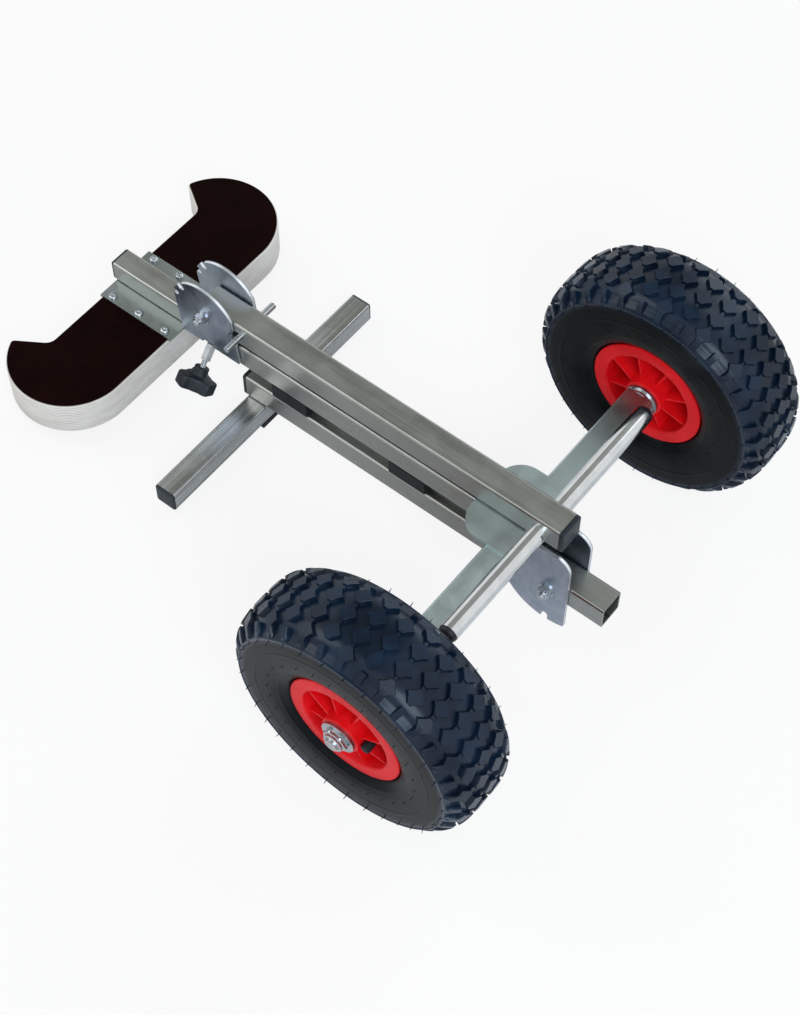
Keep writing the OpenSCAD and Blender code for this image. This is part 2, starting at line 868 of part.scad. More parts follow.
// A domed cap: a quarter ellipse turned about the bar, and a plug in the bar's bore.
module handle_bar_caps() {
    plug = 10;
    steps = 10;
    dome = [for (i = [0:steps]) let (a = 90 * i / steps) [bar_d / 2 * cos(a), dome_h * sin(a)]];
    color(black_plastic) stand_on_ground()
        for (side = [-1, 1])
            translate([bar_x, 0, handle_z]) sideways(side) translate([0, 0, bar_len / 2])
                rotate_extrude() polygon(concat(
                    [[0, -plug], [bar_d / 2 - 1.5, -plug], [bar_d / 2 - 1.5, 0]], dome));
}

// A lock pin across a tube, at the given distance from a pivot.
module lock_pin(x, z) {
    tip = 1;
    translate([x, 0, z]) sideways(1) {
        translate([0, 0, -pin_len / 2 + tip]) cylinder(d = pin_d, h = pin_len - 2 * tip);
        translate([0, 0, -pin_len / 2]) cylinder(d = pin_d - tip, h = pin_len);
    }
}

// A plug that fills a tube's bore, against which a lock spring pushes.
module handle_spring_plug() {
    x = handle_pivot_in + handle_drawn + pin_d / 2 + touch + spring_len;
    color(black_plastic) stand_on_ground()
        translate([0, 0, handle_z]) along_x(x, x + plug_len) round_square(bore_w, 1);
}

module handle_lock_spring() {
    x = handle_pivot_in + handle_drawn + pin_d / 2 + touch;
    color(steel) stand_on_ground() translate([x, 0, handle_z])
        along_x(0, spring_len) difference() {
            circle(r = spring_r);
            circle(r = spring_r - spring_wire);
        }
}

module handle_lock_pin() {
    color(bright_steel) stand_on_ground() lock_pin(handle_pivot_in + handle_drawn, handle_z);
}

// Foot

module foot_tube() {
    color(steel) stand_on_ground()
        difference() {
            translate([0, 0, foot_z]) along_x(foot_start, foot_x1) tube_outline(tube_w, tube_r);
            translate([foot_pivot_x, 0, foot_z]) {
                sideways(1) translate([0, 0, -tube_w])
                    cylinder(r = sleeve_d / 2 + run_play, h = 2 * tube_w);
                rotate([0, 180, 0]) along_y(-tube_w, tube_w)
                    pin_slot(foot_seat, foot_drawn, touch);
            }
        }
}

module foot_tube_cap() {
    color(black_plastic) stand_on_ground()
        translate([foot_start, 0, foot_z]) mirror([1, 0, 0]) square_cap(tube_w, cap_t);
}

module foot_bar() {
    color(steel) stand_on_ground()
        translate([foot_bar_x, 0, foot_bar_z])
            along_y(-foot_bar_len / 2, foot_bar_len / 2) tube_outline(foot_bar_w, tube_r - 0.5);
}

module foot_bar_caps() {
    color(black_plastic) stand_on_ground()
        for (side = [-1, 1])
            translate([foot_bar_x, side * foot_bar_len / 2, foot_bar_z])
                rotate([0, 0, 90 * side]) square_cap(foot_bar_w, foot_cap_t);
}

// The pad is cut flat where it stands on the ground.
module foot_pad() {
    color(black_plastic)
        difference() {
            stand_on_ground()
                translate([foot_bar_x - foot_bar_w / 2, -pad_len / 2, -pad_depth - foot_bar_w])
                    cube([foot_bar_w, pad_len, foot_bar_w + pad_t]);
            translate([-foot_bar_w * 2, -pad_len, -foot_bar_w * 4])
                cube([foot_bar_w * 4, pad_len * 2, foot_bar_w * 4]);
        }
}

module foot_spring_plug() {
    x = foot_pivot_x - foot_drawn - pin_d / 2 - touch - spring_len;
    color(black_plastic) stand_on_ground()
        translate([0, 0, foot_z]) along_x(x - plug_len, x) round_square(bore_w, 1);
}

module foot_lock_spring() {
    x = foot_pivot_x - foot_drawn - pin_d / 2 - touch - spring_len;
    color(steel) stand_on_ground() translate([x, 0, foot_z])
        along_x(0, spring_len) difference() {
            circle(r = spring_r);
            circle(r = spring_r - spring_wire);
        }
}

module foot_lock_pin() {
    color(bright_steel) stand_on_ground() lock_pin(foot_pivot_x - foot_drawn, foot_z);
}

// Wheels

// Puts a wheel part, drawn about Z with +Z pointing away from the mast, in its place.
module wheel_place(side) {
    stand_on_ground() translate([axle_x, side * wheel_y, 0]) sideways(side) children();
}

// The points of a half section on the other side of its middle, in turn.
function mirrored(points) = [for (p = backwards(points)) [p[0], -p[1]]];

// The same points from the last to the first.
function backwards(points) = [for (i = [len(points) - 1:-1:0]) points[i]];

module tyre(side) {
    color(tyre_black) wheel_place(side) {
        rotate_extrude() polygon(concat(
            tyre_side, tread_floor, mirrored(tread_floor), mirrored(tyre_side),
            mirrored(tyre_inner), tyre_inner
        ));
        tread();
    }
}

// The crown's line from the shoulder to the middle, this much below the tops of the studs.
function crown_line(sink) = [
    [wheel_r - 10 - 0.8 * sink, tyre_half - 6 - 0.6 * sink],
    [wheel_r - 5.5 - sink, tyre_half - 11 - 0.3 * sink], [wheel_r - 2.2 - sink, tyre_half - 18],
    [wheel_r - 0.5 - sink, tyre_half - 27], [wheel_r - sink, tyre_half - 36]
];

// The inside of the tyre from the middle of the crown to the bead, moved inward by a gap.
function inner_line(gap) = [
    [wheel_r - 12 - gap, tyre_half - 36], [wheel_r - 13 - gap, tyre_half - 17 - gap / 2],
    [wheel_r - 21 - gap, tyre_half - 9 - gap], [side_r, tyre_half - tyre_wall - gap],
    [rim_r + 12, tyre_half - tyre_wall - 2.5 - gap], [rim_r, bead_w - bead_t - gap],
    [rim_seat_r + gap, bead_w - bead_t - gap]
];

// Studs in seven rows, every other one between its neighbours, and ribs down the shoulders.
module tread() {
    columns = 2 * tread_studs;
    intersection() {
        rotate_extrude() polygon(tread_section);
        for (i = [0:columns - 1]) rotate(i * 360 / columns) {
            first = i % 2 == 0 ? 1 - outer_row : -outer_row;
            for (row = [first:2:outer_row]) translate([side_r, 0, row * stud_pitch]) stud();
            for (s = [-1, 1]) shoulder_rib(s, i % 2 == 0 ? rib_late : rib_start);
        }
    }
}

// One stud of the tread, a diamond with two corners cut off, drawn from inside out.
module stud() {
    x = stud_w / 2;
    y = stud_len / 2;
    rotate([0, 90, 0]) linear_extrude(height = wheel_r - side_r + 1)
        polygon([[0, -y], [x, -y / 4], [x, y / 4], [0, y], [-x, y / 4], [-x, -y / 4]]);
}

// A rib down one shoulder, from this distance off the tyre's middle.
module shoulder_rib(s, from) {
    translate([side_r, -shoulder_rib_w / 2, s > 0 ? from : -tyre_half])
        cube([wheel_r - side_r + 1, shoulder_rib_w, tyre_half - from]);
}

module near_tyre() {
    tyre(-1);
}

module far_tyre() {
    tyre(1);
}

module inner_tube(side) {
    color(black_plastic) wheel_place(side) rotate_extrude()
        difference() {
            polygon(concat(inner_line(air_gap), mirrored(inner_line(air_gap))));
            polygon(concat(inner_line(air_gap + air_wall), mirrored(inner_line(air_gap + air_wall))));
        }
}

module near_inner_tube() {
    inner_tube(-1);
}

module far_inner_tube() {
    inner_tube(1);
}

// The rim: barrel with two flanges, a web, the hub and ribs on both sides of the web.
module rim(side) {
    web_top = web_out + rim_web;
    color(rim_red) wheel_place(side)
        difference() {
            union() {
                rotate_extrude() {
                    translate([rim_bore_r, -rim_half])
                        square([rim_seat_r - rim_bore_r, rim_w]);
                    for (s = [-1, 1])
                        translate([rim_bore_r, s > 0 ? bead_w : -rim_half])
                            square([rim_r - rim_bore_r, flange_t]);
                    translate([hub_r - 2, web_out])
                        square([rim_bore_r - hub_r + 3, rim_web]);
                    translate([bush_r, -hub_half]) square([hub_r - bush_r, hub_len]);
                    translate([axle_d / 2 + 1, -hub_half + bush_len])
                        square([hub_r - axle_d / 2 - 1, hub_len - 2 * bush_len]);
                }
                for (i = [0:rim_ribs - 1])
                    rotate((i + 0.5) * 360 / rim_ribs) rib(web_top);
            }
            translate([valve_out, 0, valve_z]) rotate([0, 90, 0])
                cylinder(r = valve_stem_r + run_play, h = wheel_r);
        }
}

// One rib, from the hub to the barrel, on both sides of the web.
module rib(web_top) {
    hub_side = hub_half - 7;
    translate([0, rim_web / 2, 0]) rotate([90, 0, 0]) linear_extrude(height = rim_web)
        polygon([
            [hub_r - 1, -hub_side], [rim_bore_r + 1, -rim_half + 5],
            [rim_bore_r + 1, rim_half - 5], [hub_r - 1, hub_side]
        ]);
}

module near_rim() {
    rim(-1);
}

module far_rim() {
    rim(1);
}

module bushes(side) {
    color(bright_steel) wheel_place(side)
        for (z = [-hub_half, hub_half - bush_len])
            translate([0, 0, z]) ring(bush_r, axle_d / 2, bush_len);
}

module near_bushes() {
    bushes(-1);
}

module far_bushes() {
    bushes(1);
}

// The valve comes through the barrel, turns beside the hub and points outward with its cap.
module valve(side) {
    foot = max(valve_z - valve_stem_r, web_out + rim_web + 0.3);
    color(black_plastic) wheel_place(side) {
        translate([valve_out, 0, valve_z]) rotate([0, 90, 0])
            cylinder(r = valve_stem_r, h = rim_seat_r + air_gap - stop_gap - valve_out);
        translate([valve_out, 0, foot]) cylinder(d = valve_d, h = valve_z + 18 - foot);
    }
}

module near_valve() {
    valve(-1);
}

module far_valve() {
    valve(1);
}

mast_tube();
near_handle_plate();
far_handle_plate();
near_foot_plate();
far_foot_plate();
gusset_plate();
near_axle_beam();
far_axle_beam();
near_axle();
far_axle();
axle_spacers();
axle_washers();
axle_nuts();
buffer_blocks();
clamp_nut();
pivot_bolts();
pivot_sleeves();
pivot_washers();
pivot_nuts();
weld_beads();
extension_tube();
extension_cap();
board_bracket();
board_core();
board_top_film();
board_bottom_film();
board_screws();
clamp_stud();
clamp_knob();
handle_tube();
handle_tube_cap();
handle_bar();
handle_bar_caps();
handle_spring_plug();
handle_lock_spring();
handle_lock_pin();
foot_tube();
foot_tube_cap();
foot_bar();
foot_bar_caps();
foot_pad();
foot_spring_plug();
foot_lock_spring();
foot_lock_pin();
near_tyre();
near_inner_tube();
near_rim();
near_bushes();
near_valve();
far_tyre();
far_inner_tube();
far_rim();
far_bushes();
far_valve();
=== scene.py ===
# %% [markdown]
# # Dressing a folding engine dolly
#
# The solids of the dolly come ready from its CAD model, and they fix every size and place. What
# is left for Blender is what the eye sees: brushed and mirror-bright steel, dark filmed plywood
# with its many thin plies, block-tread tyres, red moulded rims and black plastic. Most solids
# are kept and only get a finish. A few are swapped for finer surfaces, each worked out with
# numpy as a function of two parameters.

# %% Load the frame
import json
import math

import bpy
import numpy as np
from mathutils import Euler, Matrix


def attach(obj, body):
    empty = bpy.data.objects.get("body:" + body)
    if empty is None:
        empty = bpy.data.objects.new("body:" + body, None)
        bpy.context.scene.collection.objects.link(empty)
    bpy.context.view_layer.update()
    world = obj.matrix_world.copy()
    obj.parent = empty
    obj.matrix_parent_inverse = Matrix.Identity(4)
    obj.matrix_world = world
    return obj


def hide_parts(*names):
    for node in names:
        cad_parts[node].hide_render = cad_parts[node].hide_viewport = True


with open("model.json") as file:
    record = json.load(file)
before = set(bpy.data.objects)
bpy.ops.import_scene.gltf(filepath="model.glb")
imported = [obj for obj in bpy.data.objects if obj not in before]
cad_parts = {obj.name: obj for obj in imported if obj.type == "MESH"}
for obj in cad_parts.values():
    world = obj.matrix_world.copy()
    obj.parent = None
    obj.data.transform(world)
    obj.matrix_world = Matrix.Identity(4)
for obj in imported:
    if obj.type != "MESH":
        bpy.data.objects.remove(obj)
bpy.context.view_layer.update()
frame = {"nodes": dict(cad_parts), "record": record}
nodes = frame["nodes"]

# %% [markdown]
# ## Two sets of axes
#
# The mast leans a little, because its wheels are taller than its foot. Nearly every piece is
# square to the mast and not to the ground, so points are written in the mast's own axes and
# turned once. The direction of the mast and the place of the axle come from the joints in the
# record, so the numbers can't drift apart from the CAD model.

# %% The mast's axes
MM = 0.001
joint = {j["name"]: j for j in frame["record"]["behaviour"]["joints"]}
along = -np.array(joint["mast_extension"]["axis"])
across = np.array([0.0, 1.0, 0.0])
upward = np.cross(along, across)
near_hub = np.array(joint["near_wheel_spin"]["pos_m"])
far_hub = np.array(joint["far_wheel_spin"]["pos_m"])
axle = (near_hub + far_hub) / 2
lean = math.atan2(along[2], along[0])

# Measures of the CAD model that several cells need, in mm along the mast's axes.
AXLE_X, MAST_HALF, PLATE_MIDDLE, PLATE_FACE = 402, 15, 17.4, 19.4
HANDLE_Z, FOOT_Z = 34.3, -48.3
HANDLE_PIVOT, FOOT_PIVOT = 5.5, 443.5


def on_mast(points):
    """Mast axes to model axes: axle + (x - axle x) * along + y * across + z * upward."""
    points = np.asarray(points, float)
    return (axle + (points[..., :1] - AXLE_X * MM) * along + points[..., 1:2] * across
            + points[..., 2:3] * upward)


print("lean in degrees:", round(math.degrees(lean), 3), "axle at", axle.round(4))

# %% [markdown]
# ## From arrays to meshes
#
# A surface is a grid of points: one parameter runs down its rows and the other along its
# columns. Joining each point to its neighbours gives the faces. The columns close into rings,
# and the rows either close too or end in one flat face at each end, so every surface is
# closed. Working on whole arrays keeps this short and quick.

# %% Grids and one maker of pieces
def grid_faces(rows, columns, closed_rows):
    """Corner numbers of each quad: point (i, j) with (i, j+1), (i+1, j+1) and (i+1, j)."""
    i = np.arange(rows if closed_rows else rows - 1)
    i, j = (a.ravel() for a in np.meshgrid(i, np.arange(columns), indexing="ij"))
    i2, j2 = (i + 1) % rows, (j + 1) % columns
    return np.stack([i * columns + j, i * columns + j2, i2 * columns + j2, i2 * columns + j], 1)


def surface(points, closed_rows=False):
    """A closed surface as (vertices, quads, polygons). The polygons are its two end faces."""
    rows, columns = points.shape[:2]
    ring = np.arange(columns)
    ends = [] if closed_rows else [ring[::-1], (rows - 1) * columns + ring]
    return points.reshape(-1, 3), grid_faces(rows, columns, closed_rows), ends


def once_round(steps):
    """Angles of a full turn, without its end."""
    return np.linspace(0, 2 * math.pi, steps, endpoint=False)


def polar(r, angle, h):
    """Radius, angle and height to (r * cos(angle), r * sin(angle), height)."""
    return np.stack(np.broadcast_arrays(r * np.cos(angle), r * np.sin(angle), h), -1)


def facing_out(part):
    """Turns a closed surface outward. Its volume is the sum of a . (b x c) / 6 over its
    triangles, and comes out negative where the faces point inward."""
    points, quads, polygons = part
    fans = [np.stack([np.full(len(p) - 2, p[0]), p[1:-1], p[2:]], 1) for p in polygons]
    triangles = np.concatenate([quads[:, [0, 1, 2]], quads[:, [0, 2, 3]], *fans])
    a, b, c = (points[triangles[:, k]] - points[0] for k in range(3))
    if (a * np.cross(b, c)).sum() < 0:
        return points, quads[:, ::-1], [p[::-1] for p in polygons]
    return part


def joined(parts):
    """Several surfaces as one: vertices end to end, and face numbers moved up to match."""
    vertices, faces, start = [], [], 0
    for points, quads, polygons in map(facing_out, parts):
        vertices.append(points)
        faces += (quads + start).tolist() + [(p + start).tolist() for p in polygons]
        start += len(points)
    return np.concatenate(vertices), faces


def piece(name, parts, material, body, node, sharp=35):
    """Makes one object from closed surfaces in model axes, hangs it on its body and hides the CAD
    piece that it stands for.
    """
    vertices, faces = joined(parts)
    mesh = bpy.data.meshes.new(name)
    mesh.from_pydata(vertices.tolist(), [], faces)
    mesh.materials.append(material)
    mesh.polygons.foreach_set("use_smooth", np.ones(len(mesh.polygons), bool))
    mesh.set_sharp_from_angle(angle=math.radians(sharp))
    mesh.update()
    made = bpy.data.objects.new(name, mesh)
    bpy.context.scene.collection.objects.link(made)
    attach(made, body)
    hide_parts(node)
    print(f"{name}: {len(vertices)} points, {len(faces)} faces")


def placed(parts, origin, axes):
    """Moves surfaces from their own axes to the mast's, and then to the model's. The rows of
    axes are the directions of their own X, Y and Z along the mast."""
    axes = np.array(axes, float)
    return [(on_mast(np.array(origin) * MM + points @ axes), quads, polygons)
            for points, quads, polygons in parts]


# %% [markdown]
# ## Shader maths written as sums
#
# A finish is a small sum: noise times a strength, plus a base colour. One class wraps a
# socket of the node tree, so that the sum can be written as Python. Any node that isn't a sum
# comes from its one method, node().

# %% The socket class
class Wire:
    """An output of a shader node. +, -, * and / on it add a Math node."""

    def __init__(self, tree, socket=None):
        self.tree, self.socket = tree, socket

    def node(self, kind, settings=None, values=None, out=0):
        """Adds a node: its settings first, then the values or links of its inputs."""
        made = self.tree.nodes.new(kind)
        for key, value in (settings or {}).items():
            setattr(made, key, value)
        pairs = values.items() if isinstance(values, dict) else enumerate(values or [])
        for key, value in pairs:
            if isinstance(value, Wire):
                self.tree.links.new(value.socket, made.inputs[key])
            elif hasattr(made.inputs[key].default_value, "__len__"):
                size = len(made.inputs[key].default_value)
                made.inputs[key].default_value = (*value, 1)[:size]
            else:
                made.inputs[key].default_value = value
        return Wire(self.tree, made.outputs[out])

    def outputs(self, *keys):
        """Outputs of the node that this one belongs to, by name or number."""
        return [Wire(self.tree, self.socket.node.outputs[key]) for key in keys]

    def maths(self, operation, *values):
        return self.node("ShaderNodeMath", {"operation": operation}, values)

    def __add__(self, other):
        return self.maths("ADD", self, other)

    def __sub__(self, other):
        return self.maths("SUBTRACT", self, other)

    def __rsub__(self, other):
        return self.maths("SUBTRACT", other, self)

    def __mul__(self, other):
        return self.maths("MULTIPLY", self, other)

    def __truediv__(self, other):
        return self.maths("DIVIDE", self, other)

    def __abs__(self):
        return self.maths("ABSOLUTE", self)

    __radd__ = __add__
    __rmul__ = __mul__

    def between(self, low, high):
        """0 below low, 1 above high, and a smooth step from one to the other."""
        return self.node("ShaderNodeMapRange", {"interpolation_type": "SMOOTHSTEP"},
                         {"Value": self, "From Min": low, "From Max": high})

    def blend(self, first, second):
        """The first colour where this is 0 and the second where it is 1."""
        return self.node("ShaderNodeMix", {"data_type": "RGBA"}, {0: self, 6: first, 7: second}, 2)

    def noise(self, where, scale, detail=3.0, roughness=0.5, distortion=0.0):
        return self.node("ShaderNodeTexNoise", None, {
            "Vector": where, "Scale": scale, "Detail": detail, "Roughness": roughness,
            "Distortion": distortion})


def finish(name, build, **fixed):
    """A material: build(wire) returns the varying inputs, and fixed ones are set as numbers."""
    material = bpy.data.materials.new(name)
    material.use_nodes = True
    tree = material.node_tree
    shader = tree.nodes["Principled BSDF"]
    for key, value in fixed.items():
        shader.inputs[key.replace("_", " ")].default_value = value
    wire = Wire(tree)
    for key, value in build(wire).items():
        if isinstance(value, Wire):
            tree.links.new(value.socket, shader.inputs[key])
        else:
            shader.inputs[key].default_value = value
    return material


def mast_axes(wire, scale=(1, 1, 1)):
    """Object coordinates turned by the lean, so that X runs along the mast, then stretched."""
    at = wire.node("ShaderNodeTexCoord", out="Object")
    level = wire.node("ShaderNodeMapping", {"vector_type": "TEXTURE"}, {
        "Vector": at, "Location": tuple(axle), "Rotation": (0, -lean, 0)})
    return wire.node("ShaderNodeMapping", None, {"Vector": level, "Scale": scale})


def parts_of(wire, vector):
    """The X, Y and Z of a vector as three wires."""
    return wire.node("ShaderNodeSeparateXYZ", None, [vector]).outputs(0, 1, 2)


def bump(wire, height, strength, distance=0.0005):
    return wire.node("ShaderNodeBump", None, {
        "Height": height, "Strength": strength, "Distance": distance})


# %% [markdown]
# ## Brushed stainless steel
#
# The square tubes are stainless, polished with a belt along their length. The belt leaves
# fine lines that run with the tube, so the noise is stretched: it changes quickly across the
# tube and slowly along it. The same lines drive the roughness and a faint bump, and a slower
# cloud of noise gives the handled, slightly oily look of a used tool.

# %% Steel for the tubes
def brushed(tint, dark, lines, rough=0.34, marks=0.5):
    """Builds brushed steel: lines is the stretch of the noise along the mast's X, Y and Z."""
    def build(wire):
        fine = wire.noise(mast_axes(wire, lines), 1.0, 5.0, 0.62)
        broad = wire.noise(mast_axes(wire, tuple(v / 9 for v in lines)), 1.0, 2.0)
        cloud = wire.noise(mast_axes(wire), 22.0, 4.0, 0.6, 0.6)
        streak = (fine * 0.65 + broad * 0.35).between(0.30, 0.72)
        worn = cloud.between(0.36, 0.72)
        return {
            "Base Color": (streak * (1 - marks) + worn * marks).blend(dark, tint),
            "Roughness": rough - 0.10 + 0.12 * streak + 0.08 * worn,
            "Normal": bump(wire, fine, 0.10),
        }
    return build


ALONG_X = (14, 900, 900)
ALONG_Y = (700, 5, 700)
tube_steel = finish("brushed_tube_steel", brushed(
    (0.37, 0.385, 0.37), (0.30, 0.305, 0.285), ALONG_X, 0.34, 0.35), Metallic=1.0)
foot_bar_steel = finish("brushed_foot_bar_steel", brushed(
    (0.66, 0.70, 0.70), (0.26, 0.26, 0.26), ALONG_Y, 0.28, 0.12), Metallic=1.0)
beam_steel = finish("mottled_beam_steel", brushed(
    (0.52, 0.61, 0.62), (0.40, 0.48, 0.49), (60, 14, 60), 0.36, 0.7), Metallic=1.0)
bracket_steel = finish("mottled_bracket_steel", brushed(
    (0.38, 0.43, 0.43), (0.29, 0.33, 0.33), (30, 40, 300), 0.30, 0.5), Metallic=1.0)

# %% [markdown]
# ## Cut plates
#
# The side plates are laser cut. Their faces are matt and bluish, and a painted highlight, a
# bright white line 2 mm wide, runs along the middle of every cut edge, where the edges catch
# the light. How far a point is from the middle of the plate's thickness tells the line from the
# rest, so that distance is all the mask needs.

# %% Steel for the plates
def cut_plate(wire):
    x, y, z = parts_of(wire, mast_axes(wire))
    from_middle = abs(abs(y) - PLATE_MIDDLE * MM)
    # The mask is 0 on the middle of each cut edge, which gets a painted white highlight, and 1 on
    # the faces.
    off_edge_highlight = from_middle.between(0.9 * MM, 1.3 * MM)
    cloud = wire.noise(mast_axes(wire), 45.0, 5.0, 0.6, 0.4)
    fine = wire.noise(mast_axes(wire, (220, 400, 60)), 1.0, 4.0)
    shade = (cloud * 0.7 + fine * 0.3).between(0.33, 0.68)
    faces = shade.blend((0.27, 0.32, 0.40), (0.43, 0.47, 0.54))
    return {
        "Base Color": off_edge_highlight.blend((0.80, 0.84, 0.88), faces),
        "Roughness": 0.30 + 0.10 * shade,
        "Normal": bump(wire, fine, 0.08),
    }


plate_steel = finish("laser_cut_plate_steel", cut_plate, Metallic=1.0)

# %% [markdown]
# ## Bright steel, plastic and rubber
#
# The handle bar is polished until it mirrors, and the bolts, nuts and pins are zinc bright.
# Black plastic is a shade lighter than black and slightly grained from its mould. The tyre's
# rubber has a finer grain. Its tread is blue-black under a thin sheen, which is a coat; the blue in
# its colour and in the tint of its reflections is a painted reflection of cool light. Its sides
# are a neutral black, so the distance from the axle chooses between the two.

# %% Bright steel
def bright(tint, dark, rough, scale=160.0):
    def build(wire):
        cloud = wire.noise(mast_axes(wire), scale, 4.0, 0.6)
        return {
            "Base Color": cloud.between(0.35, 0.65).blend(dark, tint),
            "Roughness": rough + 0.06 * cloud,
            "Normal": bump(wire, cloud, 0.03),
        }
    return build


mirror_steel = finish("polished_bar_steel", bright(
    (0.66, 0.69, 0.70), (0.60, 0.62, 0.63), 0.09, 60.0), Metallic=1.0)
zinc_steel = finish("bright_bolt_steel", bright(
    (0.52, 0.55, 0.57), (0.42, 0.45, 0.47), 0.20, 90.0), Metallic=1.0)
spring_steel = finish("drawn_spring_steel", bright(
    (0.50, 0.50, 0.48), (0.34, 0.34, 0.33), 0.25), Metallic=1.0)


# %% Plastic and rubber
def moulded(tint, dark, rough, grain=900.0, strength=0.12):
    def build(wire):
        fine = wire.noise(mast_axes(wire), grain, 3.0)
        broad = wire.noise(mast_axes(wire), 30.0, 3.0, 0.5, 0.3)
        return {
            "Base Color": broad.between(0.35, 0.70).blend(dark, tint),
            "Roughness": rough + 0.10 * broad,
            "Normal": bump(wire, fine, strength),
        }
    return build


black_plastic = finish("black_moulded_plastic", moulded(
    (0.015, 0.022, 0.031), (0.009, 0.014, 0.020), 0.38), Specular_IOR_Level=0.32)
black_rubber = finish("black_block_rubber", moulded(
    (0.012, 0.014, 0.017), (0.007, 0.008, 0.010), 0.55), Specular_IOR_Level=0.25)


def tyre_skin(wire):
    """Blue-black on the tread, a painted reflection of cool light, and neutral on the sides: radius
    = root of x * x + z * z.
    """
    x, y, z = parts_of(wire, mast_axes(wire))
    radius = wire.maths("SQRT", x * x + z * z)
    fine = wire.noise(mast_axes(wire), 1400.0, 3.0)
    broad = wire.noise(mast_axes(wire), 30.0, 3.0, 0.5, 0.3)
    bloom = broad.between(0.35, 0.70)
    # The blue of the tread's colour is a painted reflection of cool light.
    tread = bloom.blend((0.0018, 0.007, 0.019), (0.005, 0.018, 0.042))
    side = bloom.blend((0.004, 0.004, 0.0037), (0.008, 0.008, 0.0075))
    on_tread = radius.between(112 * MM, 120 * MM)
    return {
        "Base Color": on_tread.blend(side, tread),
        "Coat Weight": 0.5 * on_tread,
        "Roughness": 0.25 + 0.10 * broad,
        "Normal": bump(wire, fine, 0.20),
    }


# The blue Specular Tint is a painted reflection of cool light on the tread.
tyre_rubber = finish("tyre_rubber_painted_blue_reflection", tyre_skin, Specular_IOR_Level=0.10,
                     Specular_Tint=(0.55, 0.78, 1.0, 1), Coat_Roughness=0.24, Coat_IOR=1.42)
red_plastic = finish("red_rim_plastic", moulded(
    (0.86, 0.008, 0.014), (0.74, 0.004, 0.008), 0.34, 700.0, 0.05), Specular_IOR_Level=0.18)

# %% [markdown]
# ## Filmed plywood
#
# The transom board is birch plywood with a dark phenolic film on both faces. Where it is cut,
# the plies show as thin lines, pale where the grain runs along the cut and greyer where the
# cut goes across it. Their height over the board decides the colour, so one sine wave along
# the board's thickness draws them all, and a little noise keeps them from being ruler-straight.

# %% Plywood edge and film
PLY_PITCH = 2.8 * MM


def ply_edge(wire):
    x, y, z = parts_of(wire, mast_axes(wire))
    drift = wire.noise(mast_axes(wire, (1, 1, 3)), 18.0, 2.0)
    wave = wire.maths("SINE", z * (2 * math.pi / PLY_PITCH) + drift * 1.2)
    grain = wire.noise(mast_axes(wire, (1, 1, 14)), 420.0, 4.0, 0.6)
    stain = wire.noise(mast_axes(wire, (1, 1, 4)), 30.0, 4.0, 0.65)
    line = wave.between(0.25, 0.95) * (0.45 + 0.55 * stain)
    body = stain.between(0.35, 0.75).blend((0.90, 0.88, 0.84), (0.82, 0.78, 0.72))
    ply = line.blend(body, (0.40, 0.35, 0.30))
    flecks = grain.between(0.60, 0.80) * 0.35
    return {
        "Base Color": flecks.blend(ply, (0.40, 0.35, 0.30)),
        "Roughness": 0.62 + 0.15 * grain,
        "Normal": bump(wire, line * -0.5 + grain * 0.5, 0.25),
    }


def phenolic_film(wire):
    cloud = wire.noise(mast_axes(wire), 40.0, 4.0, 0.6)
    fine = wire.noise(mast_axes(wire), 700.0, 3.0)
    return {
        "Base Color": cloud.between(0.35, 0.7).blend(
            (0.0030, 0.0006, 0.0006), (0.006, 0.0012, 0.0012)),
        "Roughness": 0.42 + 0.12 * cloud,
        "Normal": bump(wire, fine, 0.06),
    }


plywood = finish("birch_ply_edges", ply_edge, Specular_IOR_Level=0.25)
film = finish("dark_phenolic_film", phenolic_film, Specular_IOR_Level=0.05,
              Specular_Tint=(1.0, 0.35, 0.30, 1))

# %% [markdown]
# ## Finishes on the CAD pieces
#
# A CAD piece keeps its mesh, and only its material slots change. The list goes by piece, and
# not by slot, because the belt's lines run along the mast on some tubes and across it on others.

# %% Hand out the finishes
finishes = {
    "mast_tube extension_tube handle_tube foot_tube weld_beads": tube_steel,
    "foot_bar": foot_bar_steel,
    "near_axle_beam far_axle_beam gusset_plate": beam_steel,
    "board_bracket": bracket_steel,
    "near_handle_plate far_handle_plate near_foot_plate far_foot_plate": plate_steel,
    "handle_bar": mirror_steel,
    "near_axle far_axle axle_spacers axle_washers axle_nuts clamp_nut clamp_stud pivot_bolts "
    "pivot_sleeves pivot_washers pivot_nuts board_screws handle_lock_pin foot_lock_pin "
    "near_bushes far_bushes": zinc_steel,
    "handle_lock_spring foot_lock_spring": spring_steel,
    "extension_cap handle_tube_cap handle_bar_caps foot_tube_cap foot_bar_caps "
    "handle_spring_plug foot_spring_plug clamp_knob": black_plastic,
    "buffer_blocks foot_pad near_inner_tube far_inner_tube near_valve far_valve": black_rubber,
    "near_tyre far_tyre": tyre_rubber,
    "near_rim far_rim": red_plastic,
    "board_core": plywood,
    "board_top_film board_bottom_film": film,
}
dressed = set()
for names, material in finishes.items():
    for name in names.split():
        nodes[name].data.materials.clear()
        nodes[name].data.materials.append(material)
        dressed.add(name)
print("CAD pieces without a finish:", sorted(set(nodes) - dressed))

# %% [markdown]
# ## The tyre's section
#
# Everything on a tyre follows one curved line, its section from the middle of the crown out
# over the shoulder and down the side. The tread stands on a floor 5 mm under that line. So a
# point of the tread is three numbers: the angle round the wheel, the distance s along the
# section, and the height over it. The table below gives the line, and the functions turn the
# three numbers into a place.

# %% Section line and wheel coordinates
TREAD_DEPTH = 5.0 * MM
CROWN_R, RING_R = 138 * MM, 120 * MM
section = np.array([
    [0, 138], [10, 138], [19, 137.5], [28, 135.8], [35, 132.4], [40, 127.8], [43.4, 123.2],
    [45, 119], [45.8, 111], [46, 102], [45.8, 92], [45.0, 82], [43.4, 75], [41.0, 69.8],
    [38.9, 66.6], [36.3, 64.9]]) * MM


